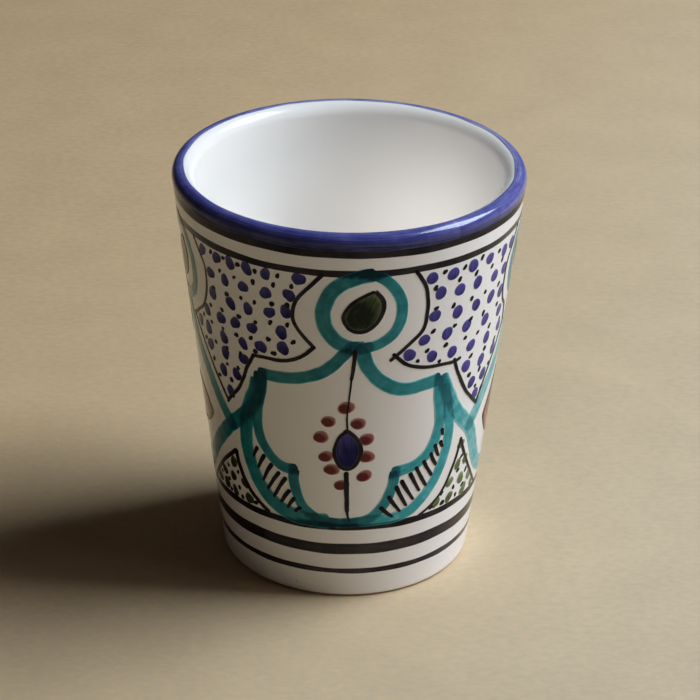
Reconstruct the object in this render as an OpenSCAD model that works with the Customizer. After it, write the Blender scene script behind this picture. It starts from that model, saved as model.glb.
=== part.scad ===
// Hand-painted ceramic tumbler with a straight tapered wall and a rolled lip.
// A fired clay body carries white glaze inside and out, and the painted coats
// stand on the outside glaze, each colour and motif as a coat of its own.
// Angles run round the cup from its front, in degrees, and grow to the right.

/* [Form] */
// Outside diameter over the rolled lip
rim_d = 85; // [78:0.5:94]
// Height from the table to the top of the lip
cup_h = 102.5; // [94:0.5:112]
// Diameter that the straight outside wall would have at the table
foot_d = 61.4; // [56:0.2:66]
// Thickness of the clay wall
wall_t = 4.6; // [4.2:0.1:5.4]
// Thickness of the clay floor above the foot recess
floor_t = 5; // [4:0.1:7]
// Radius of the lip's outer roll, over its glaze
lip_r = 2.2; // [2:0.1:2.4]
// Radius of the lip's inner shoulder, over its glaze
shoulder_r = 3.7; // [3.4:0.1:4.4]
// Radius between the floor and the wall, inside the cup
floor_blend_r = 9; // [5:0.5:14]
// Rounding of the outside edge at the foot
foot_edge_r = 1; // [0.8:0.1:1.6]
// Width of the ring that the cup stands on
foot_ring_w = 4.5; // [3:0.1:8]
// Depth of the recess inside the foot ring
foot_recess = 1.2; // [0.8:0.1:2]

/* [Glaze] */
// Thickness of the white glaze
glaze_t = 0.35; // [0.2:0.05:0.5]
// Height of the bare clay below the outside glaze
glaze_stop_h = 0.4; // [0.3:0.1:0.7]
// Thickness of a painted coat on the glaze
paint_t = 0.12; // [0.08:0.02:0.2]

/* [Bands] */
// Drop from the top of the lip to the upper edge of the black rim line
rim_line_drop = 3.4; // [3.3:0.1:4]
// Width of the black rim line
rim_line_w = 2.2; // [1.5:0.1:3]
// Drop from the top of the lip to the upper edge of the panel's top line
top_line_drop = 8.7; // [8:0.1:10]
// Width of the panel's top line
top_line_w = 1.8; // [1:0.1:2.5]
// Height of the panel's foot line above the table
foot_line_z = 20.1; // [19:0.1:22]
// Width of the panel's foot line
foot_line_w = 1.9; // [1:0.1:2.5]
// Height of the wide base band above the table
wide_band_z = 13; // [12:0.1:14]
// Width of the wide base band
wide_band_w = 3.2; // [2:0.1:4]
// Height of the narrow base band above the table
narrow_band_z = 7.1; // [5:0.1:8]
// Width of the narrow base band
narrow_band_w = 1.6; // [1:0.1:2.5]

/* [Brushwork] */
// Width of the teal strokes of the cartouche
teal_w = 3; // [2:0.1:3.4]
// Width of the bolder teal strokes: the trellis and the cartouche's left outer line
bold_w = 4.2; // [3:0.1:4.6]
// Width of the black outlines
line_w = 1; // [0.6:0.1:1.4]
// Width of the hatch strokes and the thick ends of the stem
hatch_w = 0.9; // [0.6:0.1:1.1]
// Width of the thin part of the stem
stem_w = 0.5; // [0.3:0.1:0.8]
// Outside radius of a medallion ring
ring_r = 11; // [10:0.1:11.5]
// Width of a medallion ring's stroke
ring_w = 3.2; // [2:0.1:3.6]
// Diameter of the cobalt dots
dot_d = 2.6; // [2:0.1:3]
// Diameter of the small black dots
speck_d = 1.1; // [0.8:0.1:1.4]
// Diameter of the red berries
berry_d = 3.3; // [2.6:0.1:3.6]
// Diameter of the green dabs in the corners
dab_d = 2.8; // [2:0.1:3.2]
// Half width of the rust almond
almond_a = 10.5; // [8:0.1:12]
// Half height of the rust almond
almond_b = 7.5; // [5:0.1:9]

/* [Hidden] */
$fn = 64;
revolve_fn = 180;
arc_steps = 16;

// Colours of the clay, the glaze and the paints
clay_colour = [0.72, 0.56, 0.43];
white_colour = [0.93, 0.92, 0.89];
cobalt_colour = [0.20, 0.22, 0.58];
black_colour = [0.08, 0.07, 0.07];
teal_colour = [0.12, 0.47, 0.45];
green_colour = [0.23, 0.33, 0.14];
red_colour = [0.52, 0.20, 0.19];
rust_colour = [0.64, 0.32, 0.23];

// Section of the wall, as [radius, height]
lip_c = [rim_d / 2 - lip_r, cup_h - lip_r];
foot_p = [foot_d / 2, 0];
lip_reach = norm(lip_c - foot_p);
wall_tilt = atan2(lip_c.y - foot_p.y, lip_c.x - foot_p.x) - asin(lip_r / lip_reach);
wall_a = wall_tilt - 90;
down_a = -90;
// Angle where the lip's roll meets its shoulder, which runs on into the inside wall: the blue band ends there
edge_a = wall_a + acos((wall_t + 2 * glaze_t - lip_r - shoulder_r) / (shoulder_r - lip_r));
shoulder_c = lip_c - (shoulder_r - lip_r) * heading(edge_a);
clay_lip_r = lip_r - glaze_t;
clay_shoulder_r = shoulder_r - glaze_t;
floor_z = foot_recess + floor_t;

// Unit vector at an angle
function heading(a) = [cos(a), sin(a)];

// Radius of the wall at height z, at a depth measured square into the wall
function wall_r(z, depth = 0) = foot_p.x + z / tan(wall_tilt) - depth / sin(wall_tilt);

// Centres of the rounded foot edge and the floor corner
foot_c = [wall_r(foot_edge_r, glaze_t + foot_edge_r), foot_edge_r];
floor_c_z = floor_z + floor_blend_r;
floor_c = [wall_r(floor_c_z, glaze_t + wall_t + floor_blend_r), floor_c_z];

// Heights of the band edges and of the painted panel between its two lines
rim_line_z1 = cup_h - rim_line_drop;
top_line_z1 = cup_h - top_line_drop;
panel_z0 = foot_line_z + foot_line_w;
panel_z1 = top_line_z1 - top_line_w;

// The motifs are drawn on a sheet of this height, which is stretched to the panel
sheet_h = 70;
sheet_scale = (panel_z1 - panel_z0) / sheet_h;
// Angles of the two side medallions, left and right of the front panel
left_end = -78;
right_end = 90;
front_span = right_end - left_end;
back_stretch = (360 - front_span) / front_span;
// Each panel is [turn, stretch]: the back one fills what the front one leaves
PANELS = [[0, 1], [right_end - back_stretch * left_end, back_stretch]];

// Medallions as [angle, height], and a leaf's outline in millimetres round the ring's centre
ring_at = [5, 60.2];
side_ring_at = [left_end, ring_at.y];
// Height on the sheet of a ring's lowest point, where the ogee, the stem and the trellis begin
ring_foot = ring_at.y - ring_r / sheet_scale;
leaf_points = [[2.6, 5.9], [4.9, 3.2], [4.6, -0.8], [1.6, -4.4],
    [-1.6, -5.1], [-4.3, -2.6], [-3.8, 1.4], [-0.4, 4.3]];

// Teal strokes of the lobed cartouche, as [angle, height] on the sheet
left_ogee = [[6, ring_foot], [1, ring_foot - 0.6], [-5, 45.7], [-13, 42.2], [-22, 40.7], [-34, 40.3]];
left_side = [[-32, 40.5], [-34.8, 31], [-35.4, 24], [-32.5, 18.8], [-27, 15.8], [-19.5, 14.7]];
left_lobe = [[-20.3, 14.5], [-20.5, 10], [-16.5, 3.8], [-9, 1.1], [2.5, 0.2]];
left_outer = [[-38, 31], [-41.7, 23], [-42, 17], [-40.4, 12], [-36.6, 7.4], [-30.5, 3.4], [-21, 0.6]];
right_ogee = [[0.5, ring_foot], [4.5, ring_foot - 0.8], [10, 42.7], [18, 38.8], [26, 38.2], [36, 38.9]];
right_side = [[34.8, 39], [36.4, 30], [37, 23.5], [34, 18.2], [28, 15.4], [18.6, 14.3]];
right_lobe = [[19.8, 14.3], [18.8, 10], [14, 3.8], [8, 1.1], [1.5, 0.2]];
right_outer = [[40.5, 31], [43.4, 22], [42.5, 16], [38.5, 9], [31, 3.6], [21, 0]];
CARTOUCHE = [left_ogee, left_side, left_lobe, left_outer, right_ogee, right_side, right_lobe, right_outer];

// Teal strokes that run from a cartouche's shoulder to the side panels
left_low = [[-34, 37.5], [-39, 29], [-45, 24.6], [-52, 21], [-63, 13.6], [-70, 8.8], [-77, 4]];
left_high = [[-75, ring_foot - 1.4], [-70, 39.4], [-60, 29.9], [-51.5, 22]];
right_low = [[37, 38], [43, 32], [50, 25.4], [59, 19.8], [64, 13], [71, 6.2], [80, 3], [89, 2]];
right_high = [[87, ring_foot - 1.4], [82, 40], [72.5, 32.7], [63, 26], [57, 21]];
TRELLIS = [[left_low, left_high], [right_low, right_high]];
trellis_axis = [-56, 63];

// Black outline of the dotted ground, from one medallion round to the next
left_ground = [
    [[-9, 70], [-16.5, 63.4], [-18.3, 57.5], [-11.5, 50.4]],
    [[-11.8, 50.6], [-18, 46.6], [-26, 45.2], [-35, 44.8]],
    [[-35, 44.8], [-40.5, 37.1], [-50.5, 28.2]],
    [[-50.3, 28.4], [-60, 37.5], [-70, 46.8]],
    [[-69.8, 46.8], [-60, 52], [-55.7, 60.5], [-61.5, 70]]
];
right_ground = [
    [[22.5, 70], [26.8, 63.4], [26.3, 54.6], [15.5, 47.4]],
    [[16, 47.8], [23, 44.5], [32, 42.9], [43.5, 42.6]],
    [[41.4, 42.7], [48, 34], [59, 26.4]],
    [[58.8, 26.6], [67, 35.6], [76, 44]],
    [[75.8, 44], [69, 52.8], [67.6, 61], [66.5, 70]]
];
GROUND = [left_ground, right_ground];
ground_axis = [-40, 45];

// Rows of dots in the two grounds, as [height, first angle, last angle, count]
left_dots = [[68.3, -55.5, -17.5, 6], [63.1, -52, -20.5, 5], [57.6, -52, -21.5, 5], [52.2, -56, -22.5, 5],
    [47.2, -63.5, -22.5, 6], [42.1, -58.5, -40.5, 3], [36.8, -51.5, -44, 2], [31.8, -49, -49, 1]];
right_dots = [[67.4, 29, 63, 5], [62.2, 31.5, 65, 5], [56.3, 30.5, 65, 5], [50.6, 27.2, 66.5, 5],
    [45.4, 22.5, 69.5, 6], [39, 48.5, 67.5, 3], [33.6, 53, 61, 2], [29.4, 57, 57, 1]];
DOTS = [left_dots, right_dots];
left_specks = [[65.2, -47.5, -24, 4], [60.2, -47.5, -25.5, 4], [54.6, -52, -26, 4], [49.4, -59, -27, 5],
    [44, -53.5, -44.5, 2], [39.4, -55, -46, 2], [34.5, -53.5, -47.5, 2]];
right_specks = [[64.8, 36, 58.5, 4], [59.3, 36, 60, 4], [53.4, 32, 61, 4], [48, 26.5, 64, 5],
    [42, 53.5, 63, 2], [36.4, 51.5, 63, 3]];
SPECKS = [left_specks, right_specks];

// Flower in the cartouche: the bud's outline is in millimetres round its centre, the rest is on the sheet
stem_top = [[2.7, ring_foot - 1.2], [1.7, 42]];
stem_thin = [[1.7, 42.2], [0.6, 34], [0.2, 27.5]];
stem_foot = [[0.3, 16], [0.8, 4], [1.6, 1.5]];
bud_at = [0.6, 21.7];
bud_points = [[-0.2, 6], [3.2, 3], [3.4, -0.6], [2, -4.4],
    [-0.2, -5.6], [-2.6, -4.2], [-3.4, -0.6], [-2.6, 3]];
BERRIES = [[0, 34.4], [-6.5, 29.9], [4.8, 29.5], [-9.4, 25.3], [9.2, 24.9],
    [-8.8, 19.8], [9.2, 19.7], [-7.6, 14.8], [7.4, 14], [-2.6, 11.4]];

// Hatching between the two teal lines: where its strokes start and end, and how many
left_hatch = [
    [[-36.3, 18.6], [-30, 14.6], [-24, 11], [-18.3, 4]],
    [[-39.5, 15], [-35.5, 8.7], [-29, 4.9], [-21, 2.1]],
    8
];
right_hatch = [
    [[38.7, 24], [34.8, 17.1], [25.8, 12.9], [14, 4.9]],
    [[40.5, 21.8], [38.5, 13.2], [31.5, 7.1], [20, 1.3]],
    11
];
HATCHES = [left_hatch, right_hatch];

// Corner triangles between the panels: two outline strokes, then dabs and specks
left_corner = [[[-49.3, 14.3], [-48, 10], [-43, 4.4], [-33.5, 0]], [[-49.3, 14.3], [-60, 8.8], [-74, 0]]];
right_corner = [[[51, 18], [49.6, 13], [44, 5.3], [32.5, 0]], [[51, 18], [58, 10.4], [71, 0]]];
CORNERS = [left_corner, right_corner];
left_dabs = [[-52, 9.6], [-57.5, 6.6], [-47.8, 5.4], [-64.3, 2.3], [-58.3, 1.8], [-51.5, 1.8], [-44, 1.8]];
right_dabs = [[52.3, 13], [51.2, 8.4], [56.2, 8], [47, 4.6], [55, 3.6],
    [61.4, 4], [42, 1.8], [49, 1.8], [60, 1.6]];
DABS = [left_dabs, right_dabs];
left_corner_specks = [[-54.5, 6], [-50.5, 5.4], [-61, 4.3], [-54.8, 3.6], [-47.6, 1.5]];
right_corner_specks = [[53.3, 5.7], [50.4, 5], [58.2, 5.2], [51.6, 2.6], [45.5, 2.2], [56.5, 1.2]];
CORNER_SPECKS = [left_corner_specks, right_corner_specks];
corner_axis = [-54, 52];

// Rust almond in the side panel
almond_at = [left_end, 21];

// Number of pieces in each span of a smooth stroke
span_steps = 4;

// A sheet point laid on the wall, as [length along the wall from the axis line, height]
function lay(p, panel, axis) =
    let (z = panel_z0 + p.y * sheet_scale)
    [(panel[0] + panel[1] * p.x - panel_angle(panel, axis)) * PI / 180 * wall_r(z), z];

// The same point seen square to the axis line
function seen(q) = [wall_r(q.y) * sin(q.x / wall_r(q.y) * 180 / PI), q.y];

// Angle round the cup of an angle on the sheet
function panel_angle(panel, a) = panel[0] + panel[1] * a;

// Smooth curve through four neighbouring points, between the middle two
function curve_at(a, b, c, d, t) =
    b + t * (c - a) / 2
    + t * t * (a - 2.5 * b + 2 * c - d / 2)
    + t * t * t * (1.5 * b - a / 2 - 1.5 * c + d / 2);

// Smooth open and closed curves through the points
function smooth(p) = let (last = len(p) - 1) [
    for (i = [0 : last - 1], k = [0 : span_steps - 1])
        curve_at(p[max(i - 1, 0)], p[i], p[i + 1], p[min(i + 2, last)], k / span_steps),
    p[last]
];
function smooth_loop(p) = let (n = len(p)) [
    for (i = [0 : n - 1], k = [0 : span_steps - 1])
        curve_at(p[(i + n - 1) % n], p[i], p[(i + 1) % n], p[(i + 2) % n], k / span_steps)
];

// Left-hand normal of a curve at point i
function normal_at(q, i, closed = false) =
    let (n = len(q),
        back = closed ? (i + n - 1) % n : max(i - 1, 0),
        ahead = closed ? (i + 1) % n : min(i + 1, n - 1),
        d = q[ahead] - q[back])
    [-d.y, d.x] / norm(d);

// The curve moved sideways
function aside(q, w, closed = false) = [for (i = [0 : len(q) - 1]) q[i] + w * normal_at(q, i, closed)];
function reversed(q) = [for (i = [len(q) - 1 : -1 : 0]) q[i]];
function seen_all(q) = [for (p = q) seen(p)];

// A brush stroke of even width through sheet points
module stroke(points, w, panel, axis) {
    q = smooth([for (p = points) lay(p, panel, axis)]);
    polygon(seen_all(concat(aside(q, w / 2), reversed(aside(q, -w / 2)))));
}

// A closed outline of points round a centre, in millimetres, grown by a margin
module blob(centre, points, grow, panel, axis) {
    c = lay(centre, panel, axis);
    q = smooth_loop([for (p = points) c + p]);
    polygon(seen_all(aside(q, grow, true)));
}

// A round dab at a sheet point
module dab(point, d, panel, axis) {
    translate(seen(lay(point, panel, axis)))
        circle(d = d);
}

// Thin coat on the straight wall between two heights
module coat(z0, z1) {
    rotate_extrude($fn = revolve_fn)
        polygon([
            [wall_r(z0), z0], [wall_r(z0, -paint_t), z0],
            [wall_r(z1, -paint_t), z1], [wall_r(z1), z1]
        ]);
}

// Coat of the panel where a flat drawing, seen square to an axis line, falls on it
module stamp(panel, axis) {
    rotate([0, 0, panel_angle(panel, axis)])
        intersection() {
            coat(panel_z0, panel_z1);
            rotate([90, 0, 0])
                linear_extrude(height = rim_d)
                    children();
        }
}

// Points of an arc round a centre, from one angle to another, with or without its first point
function arc(centre, r, a0, a1, first = 0) = [
    for (i = [first : arc_steps]) centre + r * heading(a0 + (a1 - a0) * i / arc_steps)
];

// Outside of the cup with skin g over the clay, from an angle on the foot's edge to the blue band's end
function outer_line(g, from_a) = concat(
    arc(foot_c, foot_edge_r + g, from_a, wall_a),
    arc(lip_c, clay_lip_r + g, wall_a, edge_a)
);

// Inside of the cup with skin g over the clay, from the blue band's end down to the middle of the floor
function inner_line(g, first = 0) = concat(
    arc(shoulder_c, clay_shoulder_r + g, edge_a, wall_a + 180, first),
    arc(floor_c, floor_blend_r - g, wall_a, down_a),
    [[0, floor_z + g]]
);

// Angle on the foot's edge where the outside glaze stops
function stop_a(g) = asin((glaze_stop_h - foot_c.y) / (foot_edge_r + g));

// A closed outline turned round the cup's axis
module turned(outline) {
    rotate_extrude($fn = revolve_fn)
        polygon(outline);
}

// Fired clay with its foot ring
module clay_body() {
    ring_in = foot_c.x - foot_ring_w;
    color(clay_colour)
        turned(concat(
            [[0, foot_recess], [ring_in, foot_recess], [ring_in, 0]],
            outer_line(0, down_a), inner_line(0, 1)
        ));
}

// White glaze over the floor and the inside of the wall
module inside_glaze() {
    color(white_colour)
        turned(concat(inner_line(glaze_t), reversed(inner_line(0))));
}

// White glaze over the lip and the outside of the wall
module outside_glaze() {
    color(white_colour)
        turned(concat(outer_line(glaze_t, stop_a(glaze_t)), reversed(outer_line(0, stop_a(0)))));
}

// Cobalt band over the lip's roll and down the wall to the rim line
module rim_band() {
    color(cobalt_colour)
        turned(concat(
            [[wall_r(rim_line_z1), rim_line_z1], [wall_r(rim_line_z1, -paint_t), rim_line_z1]],
            arc(lip_c, lip_r + paint_t, wall_a, edge_a),
            reversed(arc(lip_c, lip_r, wall_a, edge_a))
        ));
}

// Black line under the cobalt band
module rim_line() {
    color(black_colour)
        coat(rim_line_z1 - rim_line_w, rim_line_z1);
}

// Black line above the panel
module panel_top_line() {
    color(black_colour)
        coat(panel_z1, top_line_z1);
}

// Black line below the panel
module panel_foot_line() {
    color(black_colour)
        coat(foot_line_z, panel_z0);
}

// Wide black band near the foot
module wide_base_band() {
    color(black_colour)
        coat(wide_band_z, wide_band_z + wide_band_w);
}

// Narrow black band near the foot
module narrow_base_band() {
    color(black_colour)
        coat(narrow_band_z, narrow_band_z + narrow_band_w);
}

// Teal ring of a medallion
module ring_mark(at, panel, axis) {
    difference() {
        dab(at, 2 * ring_r, panel, axis);
        dab(at, 2 * (ring_r - ring_w), panel, axis);
    }
}

module medallion_rings() {
    color(teal_colour)
        for (panel = PANELS, at = [ring_at, side_ring_at])
            stamp(panel, at.x)
                ring_mark(at, panel, at.x);
}

// Leaf in a medallion: the fill lies inside the black outline
module leaf_fills() {
    color(green_colour)
        for (panel = PANELS, at = [ring_at, side_ring_at])
            stamp(panel, at.x)
                blob(at, leaf_points, -line_w / 2, panel, at.x);
}

module leaf_outlines() {
    color(black_colour)
        for (panel = PANELS, at = [ring_at, side_ring_at])
            stamp(panel, at.x)
                difference() {
                    blob(at, leaf_points, line_w / 2, panel, at.x);
                    blob(at, leaf_points, -line_w / 2, panel, at.x);
                }
}

// Black marks that are painted over the teal cartouche
module stem_mark(panel, axis) {
    stroke(stem_top, hatch_w, panel, axis);
    stroke(stem_thin, stem_w, panel, axis);
    stroke(stem_foot, hatch_w, panel, axis);
}

module hatch_mark(panel, axis) {
    for (hatch = HATCHES) {
        last = hatch[2] - 1;
        for (i = [0 : last])
            stroke([along(hatch[0], i / last), along(hatch[1], i / last)], hatch_w, panel, axis);
    }
}

// Point at a share of the way along a smooth curve
function along(p, share) =
    let (last = len(p) - 1,
        i = min(floor(share * last), last - 1))
    curve_at(p[max(i - 1, 0)], p[i], p[i + 1], p[min(i + 2, last)], share * last - i);

// Lobed teal cartouche, cut where the black marks and the ring lie over it
module cartouche_mark(panel, axis, lines = CARTOUCHE) {
    for (line = lines)
        stroke(line, line == left_outer ? bold_w : teal_w, panel, axis);
}

module cartouche_outlines() {
    color(teal_colour)
        for (panel = PANELS)
            stamp(panel, 0)
                difference() {
                    cartouche_mark(panel, 0);
                    dab(ring_at, 2 * ring_r, panel, 0);
                    stem_mark(panel, 0);
                    hatch_mark(panel, 0);
                }
}

// Teal lines that cross between the cartouche and the side panels
module trellis_lines() {
    color(teal_colour)
        for (panel = PANELS, side = [0, 1])
            stamp(panel, trellis_axis[side])
                difference() {
                    for (line = TRELLIS[side])
                        stroke(line, bold_w, panel, trellis_axis[side]);
                    cartouche_mark(panel, trellis_axis[side], [for (k = [0 : 3]) CARTOUCHE[4 * side + k]]);
                }
}

// Black outline of the dotted ground
module ground_mark(panel, side) {
    for (line = GROUND[side])
        stroke(line, line_w, panel, ground_axis[side]);
}

module spandrel_outlines() {
    color(black_colour)
        for (panel = PANELS, side = [0, 1])
            stamp(panel, ground_axis[side])
                ground_mark(panel, side);
}

// Rows of dots
module dot_rows(rows, d, panel, axis) {
    for (row = rows, i = [0 : row[3] - 1])
        dab([row[1] + (row[2] - row[1]) * i / max(row[3] - 1, 1), row[0]], d, panel, axis);
}

module cobalt_dots() {
    color(cobalt_colour)
        for (panel = PANELS, side = [0, 1])
            stamp(panel, ground_axis[side])
                difference() {
                    dot_rows(DOTS[side], dot_d, panel, ground_axis[side]);
                    ground_mark(panel, side);
                }
}

module spandrel_specks() {
    color(black_colour)
        for (panel = PANELS, side = [0, 1])
            stamp(panel, ground_axis[side])
                difference() {
                    dot_rows(SPECKS[side], speck_d, panel, ground_axis[side]);
                    dot_rows(DOTS[side], dot_d, panel, ground_axis[side]);
                    ground_mark(panel, side);
                }
}

// Bud in the cartouche: the fill lies inside the black outline
module bud_fills() {
    color(cobalt_colour)
        for (panel = PANELS)
            stamp(panel, 0)
                blob(bud_at, bud_points, -line_w / 2, panel, 0);
}

module bud_outlines() {
    color(black_colour)
        for (panel = PANELS)
            stamp(panel, 0)
                difference() {
                    blob(bud_at, bud_points, line_w / 2, panel, 0);
                    blob(bud_at, bud_points, -line_w / 2, panel, 0);
                }
}

// Stem above and below the bud
module stem_lines() {
    color(black_colour)
        for (panel = PANELS)
            stamp(panel, 0)
                difference() {
                    stem_mark(panel, 0);
                    blob(bud_at, bud_points, line_w / 2, panel, 0);
                    dab(ring_at, 2 * ring_r, panel, 0);
                }
}

// Red berries round the bud
module berries() {
    color(red_colour)
        for (panel = PANELS)
            stamp(panel, 0)
                difference() {
                    for (point = BERRIES)
                        dab(point, berry_d, panel, 0);
                    stem_mark(panel, 0);
                    blob(bud_at, bud_points, line_w / 2, panel, 0);
                }
}

// Short black strokes between the two teal lines of the cartouche
module hatch_strokes() {
    color(black_colour)
        for (panel = PANELS)
            stamp(panel, 0)
                hatch_mark(panel, 0);
}

// Corner triangles
module corner_mark(panel, side) {
    for (line = CORNERS[side])
        stroke(line, line_w, panel, corner_axis[side]);
}

module dab_mark(panel, side) {
    for (point = DABS[side])
        dab(point, dab_d, panel, corner_axis[side]);
}

module corner_outlines() {
    color(black_colour)
        for (panel = PANELS, side = [0, 1])
            stamp(panel, corner_axis[side])
                corner_mark(panel, side);
}

module green_dabs() {
    color(green_colour)
        for (panel = PANELS, side = [0, 1])
            stamp(panel, corner_axis[side])
                difference() {
                    dab_mark(panel, side);
                    corner_mark(panel, side);
                }
}

module corner_specks() {
    color(black_colour)
        for (panel = PANELS, side = [0, 1])
            stamp(panel, corner_axis[side])
                difference() {
                    for (point = CORNER_SPECKS[side])
                        dab(point, speck_d, panel, corner_axis[side]);
                    dab_mark(panel, side);
                    corner_mark(panel, side);
                }
}

// Almond with pointed ends, from two arcs, grown by a margin
module almond_mark(panel, grow) {
    arc_r = (almond_a * almond_a + almond_b * almond_b) / (2 * almond_b);
    translate(seen(lay(almond_at, panel, almond_at.x)))
        intersection_for (way = [-1, 1])
            translate([0, way * (arc_r - almond_b)])
                circle(r = arc_r + grow, $fn = revolve_fn);
}

module almond_fills() {
    color(rust_colour)
        for (panel = PANELS)
            stamp(panel, almond_at.x)
                almond_mark(panel, -line_w);
}

module almond_outlines() {
    color(black_colour)
        for (panel = PANELS)
            stamp(panel, almond_at.x)
                difference() {
                    almond_mark(panel, 0);
                    almond_mark(panel, -line_w);
                }
}

clay_body();
inside_glaze();
outside_glaze();
rim_band();
rim_line();
panel_top_line();
panel_foot_line();
wide_base_band();
narrow_base_band();
medallion_rings();
cartouche_outlines();
trellis_lines();
leaf_fills();
leaf_outlines();
spandrel_outlines();
cobalt_dots();
spandrel_specks();
bud_fills();
bud_outlines();
stem_lines();
berries();
hatch_strokes();
corner_outlines();
green_dabs();
corner_specks();
almond_fills();
almond_outlines();
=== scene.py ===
"""Looks of a hand-painted ceramic tumbler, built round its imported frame.

White glaze covers a thrown clay body, and every painted mark is a thin closed coat on that glaze: a
cobalt rim, black bands, teal cartouches and rings, and dotted grounds between them. Lengths are in
millimetres until a point is placed in the scene. Angles run round the cup from its front, in degrees,
and grow to the right. A sheet point is an angle and a height above the foot of the painted panel.
"""
import logging
import math
from dataclasses import dataclass, field, replace
from enum import Enum
from typing import Callable, ClassVar, Sequence

import bpy
import numpy as np
from mathutils import Matrix, Vector


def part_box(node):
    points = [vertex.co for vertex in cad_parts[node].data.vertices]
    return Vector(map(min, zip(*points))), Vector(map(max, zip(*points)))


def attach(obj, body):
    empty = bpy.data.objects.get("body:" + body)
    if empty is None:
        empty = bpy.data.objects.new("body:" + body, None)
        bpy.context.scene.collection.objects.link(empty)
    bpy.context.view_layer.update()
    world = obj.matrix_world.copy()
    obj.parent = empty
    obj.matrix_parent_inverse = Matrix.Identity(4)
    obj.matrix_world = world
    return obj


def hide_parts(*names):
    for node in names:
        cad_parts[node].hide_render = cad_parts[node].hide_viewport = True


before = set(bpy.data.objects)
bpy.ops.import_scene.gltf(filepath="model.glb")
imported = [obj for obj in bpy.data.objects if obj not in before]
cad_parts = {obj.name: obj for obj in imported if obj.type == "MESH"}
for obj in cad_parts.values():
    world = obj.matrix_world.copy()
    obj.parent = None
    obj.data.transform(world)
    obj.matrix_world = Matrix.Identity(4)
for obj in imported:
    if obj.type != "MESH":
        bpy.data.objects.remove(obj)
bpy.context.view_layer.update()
MM = 0.001
LOG = logging.getLogger("cup")

Point = tuple[float, float]
Route = tuple[Point, ...]
Mark = tuple[float, float, Route]
Colour = tuple[float, float, float]
Tones = tuple[tuple[float, Colour], ...]
Draws = np.random.Generator
Tone = Callable[[np.ndarray, np.ndarray], np.ndarray]


class Slot(Enum):
    """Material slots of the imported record."""

    CLAY = "clay"
    GLAZE = "white_glaze"
    COBALT = "cobalt_paint"
    BLACK = "black_paint"
    TEAL = "teal_paint"
    GREEN = "green_paint"
    RED = "red_paint"
    RUST = "rust_paint"


Looks = dict[Slot, bpy.types.Material]


class Recipe:
    """A material under construction, node by node."""

    def __init__(self, name: str) -> None:
        """Starts an empty node material.

        Args:
            name: Name of the material.
        """
        self.material = bpy.data.materials.new(name)
        self.material.use_nodes = True
        self.tree = self.material.node_tree
        self.tree.nodes.clear()

    def node(self, kind: str, inputs: dict | None = None, **settings: object) -> bpy.types.Node:
        """Adds a node, sets its properties and fills its inputs.

        Args:
            kind: Class name of the node.
            inputs: Values or sockets by input name or number.
            **settings: Properties of the node itself.

        Returns:
            The new node.
        """
        made = self.tree.nodes.new(kind)
        for key, value in settings.items():
            setattr(made, key, value)
        for key, value in (inputs or {}).items():
            if isinstance(value, bpy.types.NodeSocket):
                self.tree.links.new(value, made.inputs[key])
            else:
                made.inputs[key].default_value = value
        return made

    def sum(self, operation: str, first: object, second: object) -> bpy.types.NodeSocket:
        """Joins two numbers or sockets by a Math operation and returns the result's socket."""
        return self.node("ShaderNodeMath", {0: first, 1: second}, operation=operation).outputs[0]

    def mark(self, name: str) -> bpy.types.NodeSocket:
        """Returns the socket of a number that is stored on the mesh's points."""
        return self.node("ShaderNodeAttribute", attribute_name=name).outputs["Fac"]

    def noise(self, place: bpy.types.NodeSocket, scale: float, detail: float) -> bpy.types.NodeSocket:
        """Returns the socket of a noise value from 0 to 1 at a place."""
        inputs = {"Vector": place, "Scale": scale, "Detail": detail}
        return self.node("ShaderNodeTexNoise", inputs).outputs["Fac"]

    def bump(self, height: bpy.types.NodeSocket, strength: float, reach: float) -> bpy.types.NodeSocket:
        """Returns the socket of a normal that a height bends, over a reach in metres."""
        inputs = {"Height": height, "Strength": strength, "Distance": reach}
        return self.node("ShaderNodeBump", inputs).outputs[0]

    def place(self) -> bpy.types.NodeSocket:
        """Returns the socket of the point's place on the object, in metres."""
        return self.node("ShaderNodeTexCoord").outputs["Object"]

    def spread(self, value: bpy.types.NodeSocket, low: float, high: float) -> bpy.types.NodeSocket:
        """Returns the socket of a 0 to 1 value spread over the range from low to high."""
        return self.node("ShaderNodeMapRange", {"Value": value, "To Min": low, "To Max": high}).outputs[0]

    def ramp(self, value: bpy.types.NodeSocket, tones: Tones) -> bpy.types.NodeSocket:
        """Turns a number into a colour.

        Args:
            value: Socket of the number.
            tones: Stops of the ramp, as position and colour.

        Returns:
            Socket of the colour.
        """
        made = self.node("ShaderNodeValToRGB", {"Fac": value})
        stops = made.color_ramp.elements
        while len(stops) < len(tones):
            stops.new(0.5)
        for stop, (position, colour) in zip(stops, tones):
            stop.position = position
            stop.color = (*colour, 1.0)
        return made.outputs["Color"]

    def surface(self, inputs: dict) -> bpy.types.Material:
        """Closes the material with a Principled surface.

        Args:
            inputs: Values or sockets of the surface by input name.

        Returns:
            The finished material.
        """
        shader = self.node("ShaderNodeBsdfPrincipled", inputs)
        self.node("ShaderNodeOutputMaterial", {"Surface": shader.outputs[0]})
        return self.material


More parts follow.
